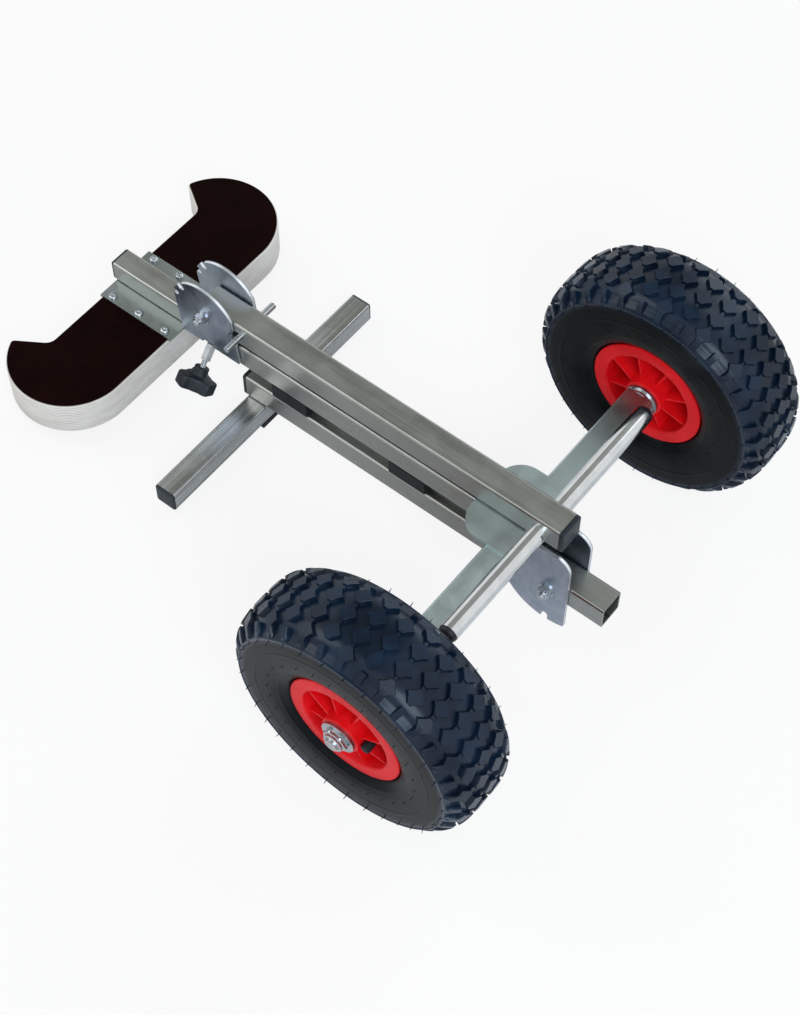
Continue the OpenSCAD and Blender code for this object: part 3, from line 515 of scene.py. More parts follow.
def smooth_line(points, steps):
    """A Catmull-Rom curve through the points: each piece is a cubic set by four neighbours."""
    padded = np.vstack([2 * points[0] - points[1], points, 2 * points[-1] - points[-2]])
    t = np.linspace(0, 1, steps, endpoint=False)[:, None, None]
    a, b, c, d = padded[:-3], padded[1:-2], padded[2:-1], padded[3:]
    curve = 0.5 * (2 * b + (c - a) * t + (2 * a - 5 * b + 4 * c - d) * t ** 2
                   + (3 * b - a - 3 * c + d) * t ** 3)
    return np.vstack([curve.transpose(1, 0, 2).reshape(-1, points.shape[1]), points[-1:]])


line = smooth_line(section, 16)
line_s = np.concatenate([[0], np.cumsum(np.linalg.norm(np.diff(line, axis=0), axis=1))])
tangent = np.gradient(line, axis=0)
tangent /= np.linalg.norm(tangent, axis=1)[:, None]
normal = np.stack([-tangent[:, 1], tangent[:, 0]], 1)
normal = np.where((normal * (line - [0, 100 * MM])).sum(1)[:, None] < 0, -normal, normal)
RING_S = float(np.interp(-RING_R, -line[:, 1], line_s))


def on_tyre(angle, s, height):
    """(angle, distance along the section, height over it) to (x, y, w) of an upright wheel."""
    side, s = np.sign(s), np.abs(s)
    w = np.interp(s, line_s, line[:, 0]) + height * np.interp(s, line_s, normal[:, 0])
    r = np.interp(s, line_s, line[:, 1]) + height * np.interp(s, line_s, normal[:, 1])
    return polar(r, angle, side * w)


def depth_at(s):
    """Depth of the tread's floor: full on the crown, and fading to nothing at the ring."""
    fade = np.clip((RING_S - 0.8 * MM - np.abs(s)) / (9 * MM), 0, 1)
    return TREAD_DEPTH * fade ** 0.6


print("section line:", round(float(line_s[-1] / MM), 1), "mm, ring at", round(RING_S / MM, 1))

# %% [markdown]
# ## Carcass, studs and ribs
#
# The carcass is the section line turned round the axle, sunk to the floor of the tread. On it
# stand studs in seven staggered rows, 18 to a turn. A stud is a diamond with two corners cut
# off and slightly hollow sides, and a low bar ties it to the next stud across the tyre. Down
# each shoulder run 36 narrow ribs, every other one out of a stud, and they fade into a raised
# ring. Thin hairs of rubber from the mould's vents stand on the sides.

# %% Tread functions
COLUMNS = 36
STEP = 2 * math.pi / COLUMNS
ROW = 10.9 * MM
STUD_LONG, STUD_WIDE, STUD_FLAT = 9.9 * MM, 8.4 * MM, 2.5 * MM


def ring_bumps(s):
    """Thin raised rings on the side: a bell curve for each, height times exp(-(ds/width)^2)."""
    rings = np.array([[RING_S / MM, 1.1, 1.2], [71.0, 0.35, 0.8], [98.0, 0.5, 1.0]]) * MM
    bells = rings[:, 1] * np.exp(-((np.abs(s)[..., None] - rings[:, 0]) / rings[:, 2]) ** 2)
    return bells.sum(-1)


def carcass():
    """The section turned round the axle, with a closed wall on its inner side."""
    ring = RING_S + np.linspace(-3, 3, 13) * MM
    side = np.sort(np.concatenate([np.linspace(0, 49, 40) * MM, ring,
                                   np.linspace(RING_S + 4 * MM, line_s[-1], 44)]))
    s = np.concatenate([-side[:0:-1], side])
    angle = once_round(180)
    outer = on_tyre(angle[None, :], s[:, None], (ring_bumps(s) - depth_at(s))[:, None])
    half_w = np.array([35.9, 35.9, 29.6, 29.6, 37.5, 40, 37, 29]) * MM
    half_r = np.array([64.2, 53.1, 53.1, 64, 76, 102, 117, 125]) * MM
    inner_w = np.concatenate([half_w, [0], -half_w[::-1]])
    inner_r = np.concatenate([half_r, [126 * MM], half_r[::-1]])
    inner = polar(inner_r[:, None], angle, inner_w[:, None])
    return surface(np.concatenate([outer, inner]), closed_rows=True)


def stud_outline():
    """Six corners joined by four hollow sides and two flats, as (round the tyre, across it).
    A hollow side leaves the straight line by 4 t (1 - t) times 0.5 mm."""
    corner = np.array([[STUD_LONG, 0], [STUD_FLAT, STUD_WIDE], [-STUD_FLAT, STUD_WIDE],
                       [-STUD_LONG, 0], [-STUD_FLAT, -STUD_WIDE], [STUD_FLAT, -STUD_WIDE]])
    points = []
    for k, start in enumerate(corner):
        end = corner[(k + 1) % 6]
        flat = k in (1, 4)
        t = np.linspace(0, 1, 1 if flat else 3, endpoint=False)[:, None]
        inward = -(start + end) / np.linalg.norm(start + end)
        points.append(start + (end - start) * t + 4 * t * (1 - t) * 0.5 * MM * inward)
    return np.concatenate(points)


def studs():
    """Every stud rises from the floor in rings that share one outline, each a little smaller."""
    outline = stud_outline()
    rings = np.array([[1.10, -5.6], [1.0, -0.8], [0.985, -0.25], [0.95, 0.0]])
    parts = []
    for row in range(-3, 4):
        for column in range(row % 2, COLUMNS, 2):
            grown = rings[:, :1, None] * outline
            angle = column * STEP + grown[..., 0] / CROWN_R
            s = row * ROW + grown[..., 1]
            parts.append(surface(on_tyre(angle, s, rings[:, 1:] * MM)))
    return parts


def strip(angle, half, s, top, bottom):
    """A closed strip over the tread at one angle. Its rows are steps in s, each with a half
    width (as an angle), a top and a bottom, and its edges are bevelled."""
    shape = np.array([[-1.15, 0], [-1.0, 0.85], [-0.85, 1], [0.85, 1], [1.0, 0.85], [1.15, 0]])
    height = bottom[:, None] + (top - bottom)[:, None] * shape[:, 1]
    points = on_tyre(angle + half[:, None] * shape[:, 0], s[:, None] + 0 * height, height)
    return surface(points)


def tie_bars():
    """Low bars, 4 mm wide, across the gap between two studs of one column."""
    parts = []
    for row in range(-2, 3):
        for column in range((row + 1) % 2, COLUMNS, 2):
            s = row * ROW + np.array([-3.2, 3.2]) * MM
            half = np.full(2, 2.0 * MM / CROWN_R)
            top = np.full(2, -2.0 * MM)
            parts.append(strip(column * STEP, half, s, top, top - 3.6 * MM))
    return parts


def shoulder_ribs():
    """Ribs from the last row of studs, where they are 6.6 mm wide, to the ring, at 8 mm."""
    parts = []
    for side in (-1, 1):
        for column in range(COLUMNS):
            start = 33 * MM if column % 2 else 36.6 * MM
            s = np.linspace(start, RING_S - 0.2 * MM, 7)
            half = np.interp(s, [33 * MM, RING_S], [3.3, 4.0]) * MM / CROWN_R
            floor = -depth_at(s) - 0.6 * MM
            top = np.where(s < 34 * MM, -0.6 * MM, 0.0)
            parts.append(strip(column * STEP, half, side * s, top, floor))
    return parts


def vent_hairs():
    """Small spikes on the side: thin cones that lean a little, at two distances s."""
    parts = []
    turn = once_round(5)
    for s0, number, length in ((RING_S / MM + 3, 33, 5.0), (86, 26, 1.8)):
        for side in (-1, 1):
            for i in range(number):
                sway = 0.5 * math.sin(7.1 * i + s0)
                angle0 = (i + 0.3 * sway) * 2 * math.pi / number
                tall = length * (0.75 + 0.4 * math.sin(3.7 * i) ** 2)
                rings = np.array([[0.55, -0.5], [0.42, 0.5 * tall], [0.22, tall]])
                s = side * (s0 + sway * rings[:, 1:] + rings[:, :1] * np.sin(turn)) * MM
                angle = angle0 + rings[:, :1] * np.cos(turn) / 100
                parts.append(surface(on_tyre(angle, s, rings[:, 1:] * MM)))
    return parts


def at_wheel(parts, hub, side):
    """Wheel axes to model axes: hub + x * along + y * upward + side * w * across."""
    axes = np.stack([along, upward, side * across])
    return [(hub + points @ axes, quads, polygons) for points, quads, polygons in parts]


# %% Both tyres
tyre_parts = [carcass(), *studs(), *tie_bars(), *shoulder_ribs(), *vent_hairs()]
wheels = (("near", near_hub, -1), ("far", far_hub, 1))
for which, hub, side in wheels:
    piece(f"{which}_tyre_tread", at_wheel(tyre_parts, hub, side), tyre_rubber,
          f"{which}_wheel", f"{which}_tyre")

# %% [markdown]
# ## The rim
#
# The rim is one moulding of red plastic: a barrel with a rolled lip on each side, a web, a long
# hub and eight thin ribs. The turned part is a closed outline with every corner rounded, and
# a rib is a rounded strip carried outward from the hub.

# %% Rounded and turned outlines
def rounded(corners, radii, steps=4):
    """Each corner becomes an arc: a quadratic curve from one side to the other, where the
    radius says how far from the corner it starts."""
    corners = np.asarray(corners, float)
    radii = np.broadcast_to(radii, len(corners))[:, None]
    before, after = np.roll(corners, 1, axis=0) - corners, np.roll(corners, -1, axis=0) - corners
    before /= np.linalg.norm(before, axis=1)[:, None]
    after /= np.linalg.norm(after, axis=1)[:, None]
    t = np.linspace(0, 1, steps)[:, None, None]
    start, end = corners + before * radii, corners + after * radii
    curve = (1 - t) ** 2 * start + 2 * t * (1 - t) * corners + t ** 2 * end
    return curve.transpose(1, 0, 2).reshape(-1, corners.shape[1])


def turned(outline, steps=64, waves=0, depth=0.0):
    """An outline of (radius, height) turned round its axis. The radius also gets
    depth * cos(waves * angle), but only where it is near its largest."""
    angle = once_round(steps)
    r, h = outline[:, :1], outline[:, 1:]
    return polar(r + np.where(r > 0.93 * r.max(), depth, 0) * np.cos(waves * angle), angle, h)


# %% Rim, hub and ribs
RIM_OUTLINE = [
    [14.05, 45], [21, 45], [21, 19], [46.5, 18.6], [49.2, 39], [64, 39], [64, 36.2], [53.1, 35.6],
    [53.1, -35.6], [64, -36.2], [64, -39], [49.2, -39], [47.5, 14.8], [21, 14.6], [21, -45],
    [14.05, -45]]
RIM_ROUND = [0.5, 1.2, 2.5, 3.0, 1.8, 1.6, 0.8, 1, 1, 0.8, 1.6, 1.8, 3.0, 2.5, 1.2, 0.5]


def rim_ribs(number=8):
    """Ribs: a rounded cross section, 3.2 mm at its foot and 2.2 mm at its top edge, carried
    from the hub to the barrel while its height falls from 38 to 34.2 mm."""
    across_rib = rounded([[-1.6, 0], [-1.1, 1], [1.1, 1], [1.6, 0], [1.1, -1], [-1.1, -1]],
                         [0.01, 0.03, 0.03, 0.01, 0.03, 0.03])
    r = np.linspace(20, 50, 6)[:, None]
    height = np.interp(r, [20, 50], [38, 34.2])
    x = r + 0 * across_rib[:, 0]
    y = across_rib[:, 0] + 0 * r
    w = height * across_rib[:, 1]
    parts = []
    for i in range(number):
        a = (i + 0.5) * 2 * math.pi / number
        points = np.stack([x * math.cos(a) - y * math.sin(a),
                           x * math.sin(a) + y * math.cos(a), w], -1) * MM
        parts.append(surface(points))
    return parts


rim_turned = turned(rounded(RIM_OUTLINE, RIM_ROUND) * MM, 96)
rim_parts = [surface(rim_turned, closed_rows=True), *rim_ribs()]
for which, hub, side in wheels:
    piece(f"{which}_rim_moulding", at_wheel(rim_parts, hub, side), red_plastic,
          f"{which}_wheel", f"{which}_rim")

# %% [markdown]
# ## Valves
#
# A rubber stem comes out of the rim's barrel and turns outward beside the hub. A screwed cap
# with a milled side closes it. Both are turned shapes, and the milling is a small wave in the
# cap's radius.

# %% Valves
def valve():
    """Three turned shapes: the stem, laid along the wheel's radius at w = 25 mm, and the cap
    with its foot, 27 mm from the axle. The cap has 16 waves."""
    stem = np.array([[3.2, 26.5], [4.0, 27.2], [4.0, 45], [4.6, 50], [5.4, 53.9], [4.6, 54.2]])
    foot = np.array([[2.9, 21.2], [4.0, 21.6], [4.2, 30.6], [3.2, 30.8]])
    cap = np.array([[3.0, 31.0], [4.75, 31.2], [4.9, 32.0], [4.9, 41.2], [4.5, 42.4], [3.4, 42.95],
                    [1.2, 43.0]])
    beside = np.array([27, 0, 0]) * MM
    shapes = (turned(stem * MM)[..., [2, 0, 1]] + np.array([0, 0, 25]) * MM,
              turned(foot * MM) + beside,
              turned(cap * MM, waves=16, depth=0.12 * MM) + beside)
    return [surface(shape) for shape in shapes]


for which, hub, side in wheels:
    piece(f"{which}_valve_and_cap", at_wheel(valve(), hub, side), black_rubber,
          f"{which}_wheel", f"{which}_valve")

# %% [markdown]
# ## Nuts, bolts and screws
#
# A hexagon's distance from its middle is half its width over the flats, divided by the cosine
# of the angle from the nearest flat. Where a turned cone is smaller than that, the cone wins,
# and this is just how the lathe chamfers the corners of a real nut.

# %% Turned hexagons and threads
def hexed(rows, steps=60, closed_rows=False):
    """A surface from rows of (largest radius, height, width over flats). A width of 0 makes
    the row round, and otherwise r = least of radius and width / 2 / cos(angle from a flat)."""
    rows = np.array(rows, float)
    angle = once_round(steps)
    flat = rows[:, 2:] / 2 / np.cos(angle % (math.pi / 3) - math.pi / 6)
    r = np.where(rows[:, 2:] > 0, np.minimum(rows[:, :1], flat), rows[:, :1])
    return surface(polar(r, angle, rows[:, 1:2]) * MM, closed_rows)


def threaded(radius, pitch, start, end, depth=0.55, steps=20):
    """A rod whose radius dips by depth times a triangle wave of height / pitch - angle / turn,
    and tapers over its last millimetre at both ends."""
    h = np.linspace(start, end, int((end - start) / pitch * 6) + 1)[:, None]
    angle = once_round(steps)
    phase = (h / pitch - angle / (2 * math.pi)) % 1
    r = radius - depth * pitch * np.abs(2 * phase - 1)
    r = np.minimum(r, radius - 1 + np.minimum(h - start, end - h))
    return surface(polar(r, angle, h) * MM)


NEAR_SIDE = ((1, 0, 0), (0, 0, 1), (0, -1, 0))
FAR_SIDE = ((1, 0, 0), (0, 0, -1), (0, 1, 0))
PIVOTS = ((HANDLE_PIVOT, HANDLE_Z), (FOOT_PIVOT, FOOT_Z))

# %% Pivot nuts and bolts
lock_nut = hexed([
    [4.05, 21, 0], [5.9, 21, 0], [6.6, 21.05, 13], [7.3, 21.6, 13], [9, 22.4, 13], [9, 25.6, 13],
    [7.3, 26.5, 13], [6.5, 27.0, 0], [5.7, 27.15, 0], [5.7, 28.4, 0], [5.3, 28.9, 0],
    [4.05, 29, 0]], closed_rows=True)
bolt_head = hexed([
    [3.0, 21.0, 0], [6.3, 21.0, 0], [9, 21.2, 13], [9, 25.0, 13], [7.2, 25.7, 13], [6.4, 26.15, 13],
    [5.8, 26.3, 0], [2.0, 26.25, 0]])
shank = hexed([[3.0, -22.5, 0], [4.0, -22.4, 0], [4.0, 20.5, 0], [3.4, 20.6, 0]])
bolt_end = threaded(4.0, 1.25, 20.4, 32.0)
nuts, bolts = [], []
for x, z in PIVOTS:
    nuts += placed([lock_nut], (x, 0, z), NEAR_SIDE)
    bolts += placed([shank, bolt_end], (x, 0, z), NEAR_SIDE)
    bolts += placed([bolt_head], (x, 0, z), FAR_SIDE)
piece("pivot_lock_nuts", nuts, zinc_steel, "mast", "pivot_nuts")
piece("pivot_hexagon_bolts", bolts, zinc_steel, "mast", "pivot_bolts")

# %% Axle nuts
NUT_SEAT = 289.6
axle_nut = hexed([
    [8.05, 0, 0], [10.9, 0, 0], [12.2, 0.05, 24], [16, 1.4, 24], [16, 3.4, 24], [12.9, 4.6, 24],
    [11.6, 5.1, 0], [10.5, 5.3, 0], [10.5, 7.2, 0], [9.9, 7.9, 0], [8.05, 8, 0]], closed_rows=True)
axle_nuts = []
for side, axes in ((-1, NEAR_SIDE), (1, FAR_SIDE)):
    axle_nuts += placed([axle_nut], (AXLE_X, side * NUT_SEAT, 0), axes)
piece("axle_lock_nuts", axle_nuts, zinc_steel, "mast", "axle_nuts")

# %% Board screws
UPRIGHT = ((1, 0, 0), (0, 1, 0), (0, 0, 1))
SCREWS_X, SCREW_STEP, SCREW_Y, BRACKET_TOP = -78, 36.5, 32, -12.5
screw = hexed([
    [1.2, -35, 0], [2.7, -33.5, 0], [2.95, -33, 0], [2.95, 0, 0], [4.6, 0, 0], [4.75, 0.3, 0],
    [4.7, 1.2, 0], [4.4, 2.1, 0], [3.8, 2.8, 0], [3.0, 3.15, 0], [2.55, 3.2, 0], [2.4, 3.1, 4.1],
    [3, 2.9, 4], [3, 1.0, 4], [0.6, 0.9, 4]], 48)
screws = []
for step in (-1, 0, 1):
    for side in (-1, 1):
        screws += placed(
            [screw], (SCREWS_X + step * SCREW_STEP, side * SCREW_Y, BRACKET_TOP), UPRIGHT)
piece("board_pan_head_screws", screws, zinc_steel, "extension", "board_screws")

# %% [markdown]
# ## Clamp screw and its knob
#
# The knob is a moulded star with three lobes on a flared hub. In polar form a lobe is half a
# superellipse, which is a rectangle with rounded corners, seen from the middle. Adding the
# lobes and the core as high powers and taking the root picks the largest of them, but with
# soft valleys between them, as a mould has.

# %% Threaded stud
DOWN = math.radians(140)
CLAMP = ((1, 0, 0), (0, math.cos(DOWN), math.sin(DOWN)), (0, -math.sin(DOWN), math.cos(DOWN)))
CLAMP_AT = (8, -15, -15)
stud_rod = threaded(3.0, 1.0, -4.2, 46.5)
piece("clamp_stud_thread", placed([stud_rod], CLAMP_AT, CLAMP), zinc_steel, "clamp_screw",
      "clamp_stud")


# %% Three-lobed knob
def star(angle, core=15.1, half=9.45, reach=21.0, corner=7, power=16):
    """Soft maximum of a core circle and three lobes with rounded corners, 120 degrees apart."""
    total = core ** power + 0 * angle
    for lobe_at in (0, 120, 240):
        away = angle - math.radians(lobe_at)
        wide = np.abs(np.sin(away)) / half
        deep = np.maximum(np.cos(away), 0.05) / reach
        lobe = (wide ** corner + deep ** corner) ** (-1 / corner)
        total = total + np.where(np.cos(away) > 0, lobe, 0.1) ** power
    return total ** (1 / power)


def knob():
    """Rows of (share of the star, round radius, height): a row is star * share + radius."""
    rows = np.array([
        [0, 3.1, 46.8], [0, 3.1, 25.5], [0, 7.3, 25.5], [0, 7.8, 25.8], [0, 8.0, 26.6],
        [0, 7.9, 32], [0.02, 8.0, 33.6], [0.12, 7.4, 34.6], [0.42, 4.9, 35.3], [0.75, 1.9, 35.7],
        [0.92, 0.5, 36], [0.97, 0.2, 36.6], [1, 0, 37.8], [1, 0, 47.6], [0.99, 0, 48.9],
        [0.95, 0, 49.8], [0.88, 0, 50.3], [0.7, 0, 50.5], [0.36, 0, 50.5], [0.04, 0, 50.5]])
    angle = once_round(120)
    r = rows[:, :1] * star(angle) + rows[:, 1:2]
    return surface(polar(r, angle, rows[:, 2:]) * MM)


piece("three_lobed_knob", placed([knob()], CLAMP_AT, CLAMP), black_plastic, "clamp_handwheel",
      "clamp_knob", sharp=50)

# %% [markdown]
# ## Transom board
#
# The board's outline is made of arcs and straight lines: a round horn at each end, a straight
# throat between them, a small fillet where the throat meets the horn's slanting edge, and a
# rounded corner where that edge meets the horn. An outline that lies a little inside keeps the
# same centres, so the ply's chamfer and the film's set-back both come from one function.

# %% Outline of the board
BACK_X, THROAT_X, THROAT_HALF, HORN_Y = -32, -126, 115, 114.5
HORN_R, FILLET_R, CORNER_R, FLARE = 66.5, 12, 5, math.radians(57)


def arc(start, end, steps):
    """Points on a circle of radius 1, from one angle to the other."""
    angle = np.linspace(start, end, steps)[:, None]
    return np.hstack([np.cos(angle), np.sin(angle)])


def board_outline(inset):
    """Points (x, y) of the whole outline, moved inward by inset. Round corners that bulge lose
    it from their radius, and the hollow fillet gains it."""
    horn, fillet, corner = HORN_R - inset, FILLET_R + inset, CORNER_R - inset
    horn_at = np.array([BACK_X - HORN_R, HORN_Y])
    fillet_at = np.array([THROAT_X - FILLET_R, THROAT_HALF - FILLET_R * math.tan(FLARE / 2)])
    square = np.array([math.cos(FLARE), math.sin(FLARE)])
    slant = np.array([-math.sin(FLARE), math.cos(FLARE)])
    foot = fillet_at + fillet * square
    gap = foot + corner * square - horn_at
    run = -gap @ slant + math.sqrt((gap @ slant) ** 2 - gap @ gap + (horn - corner) ** 2)
    tip = gap + run * slant
    tip_angle = math.atan2(tip[1], tip[0])
    half = np.concatenate([
        [[BACK_X - inset, 0]],
        horn_at + horn * arc(0, tip_angle, 40),
        horn_at + tip + corner * arc(tip_angle, FLARE + math.pi, 8),
        fillet_at + fillet * arc(FLARE, 0, 9),
        [[THROAT_X + inset, 0]]])
    return np.concatenate([half, half[-2:0:-1] * [1, -1]])


def slab(rows):
    """A board-shaped slab from rows of (inset, height)."""
    rings = [np.insert(board_outline(inset), 2, height, axis=1) for inset, height in rows]
    return surface(np.array(rings) * MM)


FACE = -15.5
core = slab([[1.3, FACE - 0.75], [0.15, FACE - 1.7], [0, FACE - 2.0], [0, FACE - 42.0],
             [0.15, FACE - 42.3], [1.3, FACE - 43.25]])
top_film = slab([[1.4, FACE - 0.8], [1.3, FACE - 0.2], [1.5, FACE]])
bottom_film = slab([[1.5, FACE - 44], [1.3, FACE - 43.8], [1.4, FACE - 43.2]])
for name, layer, material, slot, node in (
        ("chamfered_ply_core", core, plywood, "plywood", "board_core"),
        ("upper_film_sheet", top_film, film, "film_face", "board_top_film"),
        ("lower_film_sheet", bottom_film, film, "film_face", "board_bottom_film")):
    piece(name, placed([layer], (0, 0, 0), UPRIGHT), material, "extension", node)

# %% [markdown]
# ## Springs and weld beads
#
# A lock spring is a round wire wound on a helix: the middle of the wire goes round while it
# moves along the tube, and a small circle is swept about it. It starts at the pin, which rests
# drawn back. A weld bead is a fillet with a ripple for each drop that the welder added.

# %% Lock springs
# HANDLE_PIN and FOOT_PIN are how far each lock pin rests from its tube's pivot, in mm.
HANDLE_PIN, FOOT_PIN = 46.05, 58.05
PIN_R, PIN_GAP, SPRING_LONG = 3.75, 0.2, 22.0


def coil(turns=9, length=SPRING_LONG, radius=5.25, wire=0.72):
    """The wire's middle is (h, radius * cos a, radius * sin a), with its end turns closed."""
    t = np.linspace(0, 1, turns * 28 + 1)
    around = 2 * math.pi * turns * t
    free = np.clip((turns * t - 1) / (turns - 2), 0, 1)
    h = wire + (length - 2 * wire) * (0.07 * np.minimum(turns * t, 1) + 0.86 * free
                                      + 0.07 * np.clip(turns * (t - 1) + 1, 0, 1))
    outward = np.stack([0 * t, np.cos(around), np.sin(around)], 1)
    middle = np.stack([h, 0 * t, 0 * t], 1) + radius * outward
    lengthwise = np.array([1.0, 0, 0])
    ring = once_round(8)[:, None]
    points = (middle[:, None] + wire * np.cos(ring) * outward[:, None]
              + wire * np.sin(ring) * lengthwise)
    return surface(points * MM)


handle_spring_x = HANDLE_PIVOT + HANDLE_PIN + PIN_R + PIN_GAP
foot_spring_x = FOOT_PIVOT - FOOT_PIN - PIN_R - PIN_GAP - SPRING_LONG
for body, x, z in (("handle", handle_spring_x, HANDLE_Z), ("foot", foot_spring_x, FOOT_Z)):
    piece(f"{body}_lock_coil", placed([coil()], (x, 0, z), UPRIGHT), spring_steel, body,
          f"{body}_lock_spring")


# %% Weld beads
def bead(start, end, leg=3.4, pitch=2.6):
    """A fillet along its own X. Its outer face is a curve from one leg to the other, and in the
    middle of each ripple its size is greater by a tenth of the leg."""
    h = np.arange(start, end, pitch / 4)
    swell = 0.94 + 0.10 * np.abs(np.sin(math.pi * h / pitch))
    swell[0] = swell[-1] = 0.6
    shape = np.concatenate([[[-0.2, -0.2]], arc(0, math.pi / 2, 7) ** 1.4 * leg])
    points = swell[:, None, None] * shape
    h = h[:, None] + 0 * points[..., 0]
    return surface(np.stack([h, points[..., 0], points[..., 1]], -1) * MM)


SEAM_Z, SEAM_X = -8.5, 417
beads = []
for side, mast_runs in ((-1, ((-22, -0.3), (16.3, 46))), (1, ((-22, 46),))):
    corner = ((1, 0, 0), (0, side, 0), (0, 0, -1))
    upright = ((0, 0, 1), (0, side, 0), (1, 0, 0))
    beads += placed([bead(*run) for run in mast_runs], (0, side * MAST_HALF, SEAM_Z), corner)
    beads += placed([bead(404.6, 414)], (0, side * PLATE_FACE, -MAST_HALF), corner)
    beads += placed([bead(-12, 12, leg=1.5)], (SEAM_X, side * MAST_HALF, 0), upright)
piece("rippled_weld_beads", beads, tube_steel, "mast", "weld_beads")

# %% [markdown]
# ## Caps
#
# The square caps have soft rounded edges, and the two caps of the handle bar are domes. Rows
# of one rounded square, each inset a little more, make the soft edge of a square cap.

# %% Square caps
def square_ring(width, corner, steps=7):
    """Points (y, z) of a square with round corners."""
    quarter = arc(0, math.pi / 2, steps) * corner + (width / 2 - corner)
    turns = [np.array([[math.cos(q), math.sin(q)], [-math.sin(q), math.cos(q)]])
             for q in np.arange(4) * math.pi / 2]
    return np.concatenate([quarter @ turn for turn in turns])


def square_cap(width, thick, corner=3.0):
    """A plug 9 mm deep and a soft-edged plate: rows of (inset, corner radius, height)."""
    plug = (width - 4) / 2
    soft = min(1.8, thick * 0.7)
    rows = [[width / 2 - plug + 0.6, 1.0, -9], [width / 2 - plug + 0.05, 1.0, -8.4],
            [width / 2 - plug + 0.05, 1.0, 0], [0.05, corner, 0], [0, corner, 0.2],
            [0, corner, thick - soft], [0.12 * soft, corner - 0.1, thick - 0.5 * soft],
            [0.45 * soft, corner - 0.4, thick - 0.15 * soft], [1.1 * soft, corner - 0.9, thick],
            [width * 0.4, 0.5, thick]]
    rings = [np.insert(square_ring(width - 2 * inset, r), 0, h, axis=1) for inset, r, h in rows]
    return surface(np.array(rings) * MM)


TO_BACK = ((-1, 0, 0), (0, 1, 0), (0, 0, 1))
foot_caps = []
for side in (-1, 1):
    foot_caps += placed([square_cap(25, 2.5, 2.5)], (66, side * 157.5, -75.8),
                        ((0, side, 0), (1, 0, 0), (0, 0, 1)))
for name, parts, body, node in (
        ("soft_extension_cap", placed([square_cap(25, 3, 2.5)], (-129, 0, 0), TO_BACK),
         "extension", "extension_cap"),
        ("soft_handle_cap", placed([square_cap(30, 5)], (447, 0, HANDLE_Z), UPRIGHT),
         "handle", "handle_tube_cap"),
        ("soft_foot_tube_cap", placed([square_cap(30, 5)], (53, 0, FOOT_Z), TO_BACK),
         "foot", "foot_tube_cap"),
        ("soft_foot_bar_caps", foot_caps, "foot", "foot_bar_caps")):
    piece(name, parts, black_plastic, body, node)

# %% Domed caps of the handle bar
BAR_AT = (425.5, 0, HANDLE_Z)
lift = np.linspace(0, 88, 14) * math.pi / 180
dome = np.stack([10 * np.cos(lift), 156 + 9 * np.sin(lift)], 1)
cap_line = np.concatenate([[[7.6, 146.2], [8.45, 146.8], [8.45, 155.9], [9.8, 155.9]], dome])
dome_cap = surface(turned(cap_line * MM, 48))
domes = placed([dome_cap], BAR_AT, NEAR_SIDE) + placed([dome_cap], BAR_AT, FAR_SIDE)
piece("domed_bar_caps", domes, black_plastic, "handle", "handle_bar_caps")

# %% [markdown]
# ## Camera, light and floor
#
# The camera was fitted to the photograph: its place, its turn and its focal length, all in the
# mast's axes, so that they hold for any lean. The picture is 800 by 1015, and Blender's sensor
# width belongs to the longer side. A dim card over the dolly, which only reflections see, gives
# the steel its olive top faces, as the ceiling of a workshop does. To the camera the floor is
# mostly an even glow, nearly as white as the background, and the rest of it takes the shadows.

# %% Camera
PICTURE = (800, 1015)
FOCAL_PIXELS = 2018
CAMERA_AT = (0.95777, -0.90251, 1.64334)
CAMERA_DEGREES = (33.1891, -0.0474, 38.3579)
lens = bpy.data.cameras.new("camera")
lens.sensor_width = 36
lens.lens = FOCAL_PIXELS / max(PICTURE) * lens.sensor_width
lens.clip_end = 50
camera = bpy.data.objects.new("camera", lens)
camera_turn = Euler([math.radians(v) for v in CAMERA_DEGREES]).to_matrix()
mast_turn = Matrix(np.stack([along, across, upward], 1).tolist())
camera.matrix_world = (mast_turn @ camera_turn).to_4x4()
camera.location = on_mast(CAMERA_AT)
bpy.context.scene.collection.objects.link(camera)
bpy.context.scene.camera = camera
print("lens in mm:", round(lens.lens, 2))


# %% Lamps, card and floor
LIT_POINT = np.array([0.1, 0, 0.1])
FLOOR_GLOW = 0.85


def lamp(name, place, size, power, colour=(1, 1, 1)):
    """A square area lamp at a place, turned so that it shines at the dolly's middle."""
    light = bpy.data.lights.new(name, "AREA")
    light.shape, light.size, light.energy, light.color = "SQUARE", size, power, colour
    made = bpy.data.objects.new(name, light)
    bpy.context.scene.collection.objects.link(made)
    aim = LIT_POINT - place
    made.location = place
    made.rotation_euler = [0, math.acos(-aim[2] / np.linalg.norm(aim)),
                           math.atan2(-aim[1], -aim[0])]


def flat_sheet(name, corners, material):
    """A flat four-cornered sheet that belongs to the studio and not to the dolly."""
    mesh = bpy.data.meshes.new(name)
    mesh.from_pydata(corners, [], [(0, 1, 2, 3)])
    mesh.materials.append(material)
    made = bpy.data.objects.new(name, mesh)
    bpy.context.scene.collection.objects.link(made)
    return made


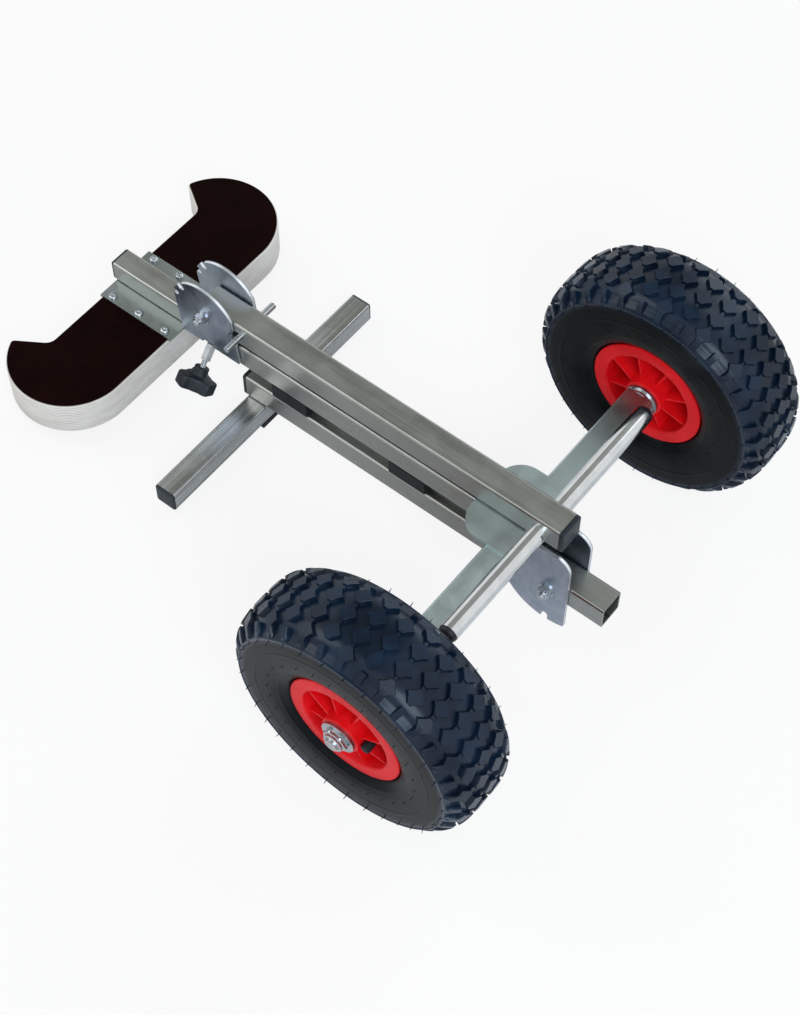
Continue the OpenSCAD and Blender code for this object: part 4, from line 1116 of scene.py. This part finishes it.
lamp("key_lamp", (1.6, -1.2, 2.0), 1.4, 34, (0.80, 0.90, 1.0))
lamp("side_lamp", (-1.8, -0.9, 1.8), 1.6, 16)
lamp("back_lamp", (0.3, 2.0, 1.6), 1.6, 16, (0.85, 0.93, 1.0))


def pale_floor(wire):
    cloud = wire.noise(wire.node("ShaderNodeTexCoord", out="Object"), 3.0, 3.0)
    return {"Base Color": cloud.between(0.3, 0.7).blend((0.86, 0.86, 0.86), (0.88, 0.88, 0.88)),
            "Roughness": 0.9}


floor_material = finish("pale_floor", pale_floor)
tree = floor_material.node_tree
seen = Wire(tree).node("ShaderNodeLightPath", out="Is Camera Ray")
glow = Wire(tree).node("ShaderNodeEmission", None, {"Color": (1, 1, 1), "Strength": 1.0})
shader_out = Wire(tree, tree.nodes["Principled BSDF"].outputs[0])
both = Wire(tree).node("ShaderNodeMixShader", None, [seen * FLOOR_GLOW, shader_out, glow])
tree.links.new(both.socket, tree.nodes["Material Output"].inputs[0])
flat_sheet("floor", [(-6, -6, 0), (6, -6, 0), (6, 6, 0), (-6, 6, 0)], floor_material)

card_material = finish("ceiling_card", lambda wire: {}, Base_Color=(0, 0, 0, 1),
                       Emission_Color=(0.34, 0.345, 0.32, 1), Emission_Strength=1.0)
card = flat_sheet("ceiling_card_sheet", [
    (-2.4, -0.4, 2.2), (0.5, -0.4, 2.2), (0.5, 2.6, 2.2), (-2.4, 2.6, 2.2)], card_material)
card.visible_camera = card.visible_diffuse = card.visible_shadow = False
card.visible_transmission = False

# %% World
world = bpy.data.worlds.new("studio")
world.use_nodes = True
bpy.context.scene.world = world
AMBIENT = 0.42
sky = Wire(world.node_tree)
straight, mirrored, passed = sky.node("ShaderNodeLightPath").outputs(
    "Is Camera Ray", "Is Glossy Ray", "Is Transmission Ray")
seen_directly = sky.maths("MAXIMUM", sky.maths("MAXIMUM", straight, mirrored), passed)
strength = AMBIENT + (1 - AMBIENT) * seen_directly
background = world.node_tree.nodes["Background"]
background.inputs["Color"].default_value = (1, 1, 1, 1)
world.node_tree.links.new(strength.socket, background.inputs["Strength"])
bpy.context.scene.view_settings.view_transform = "Standard"
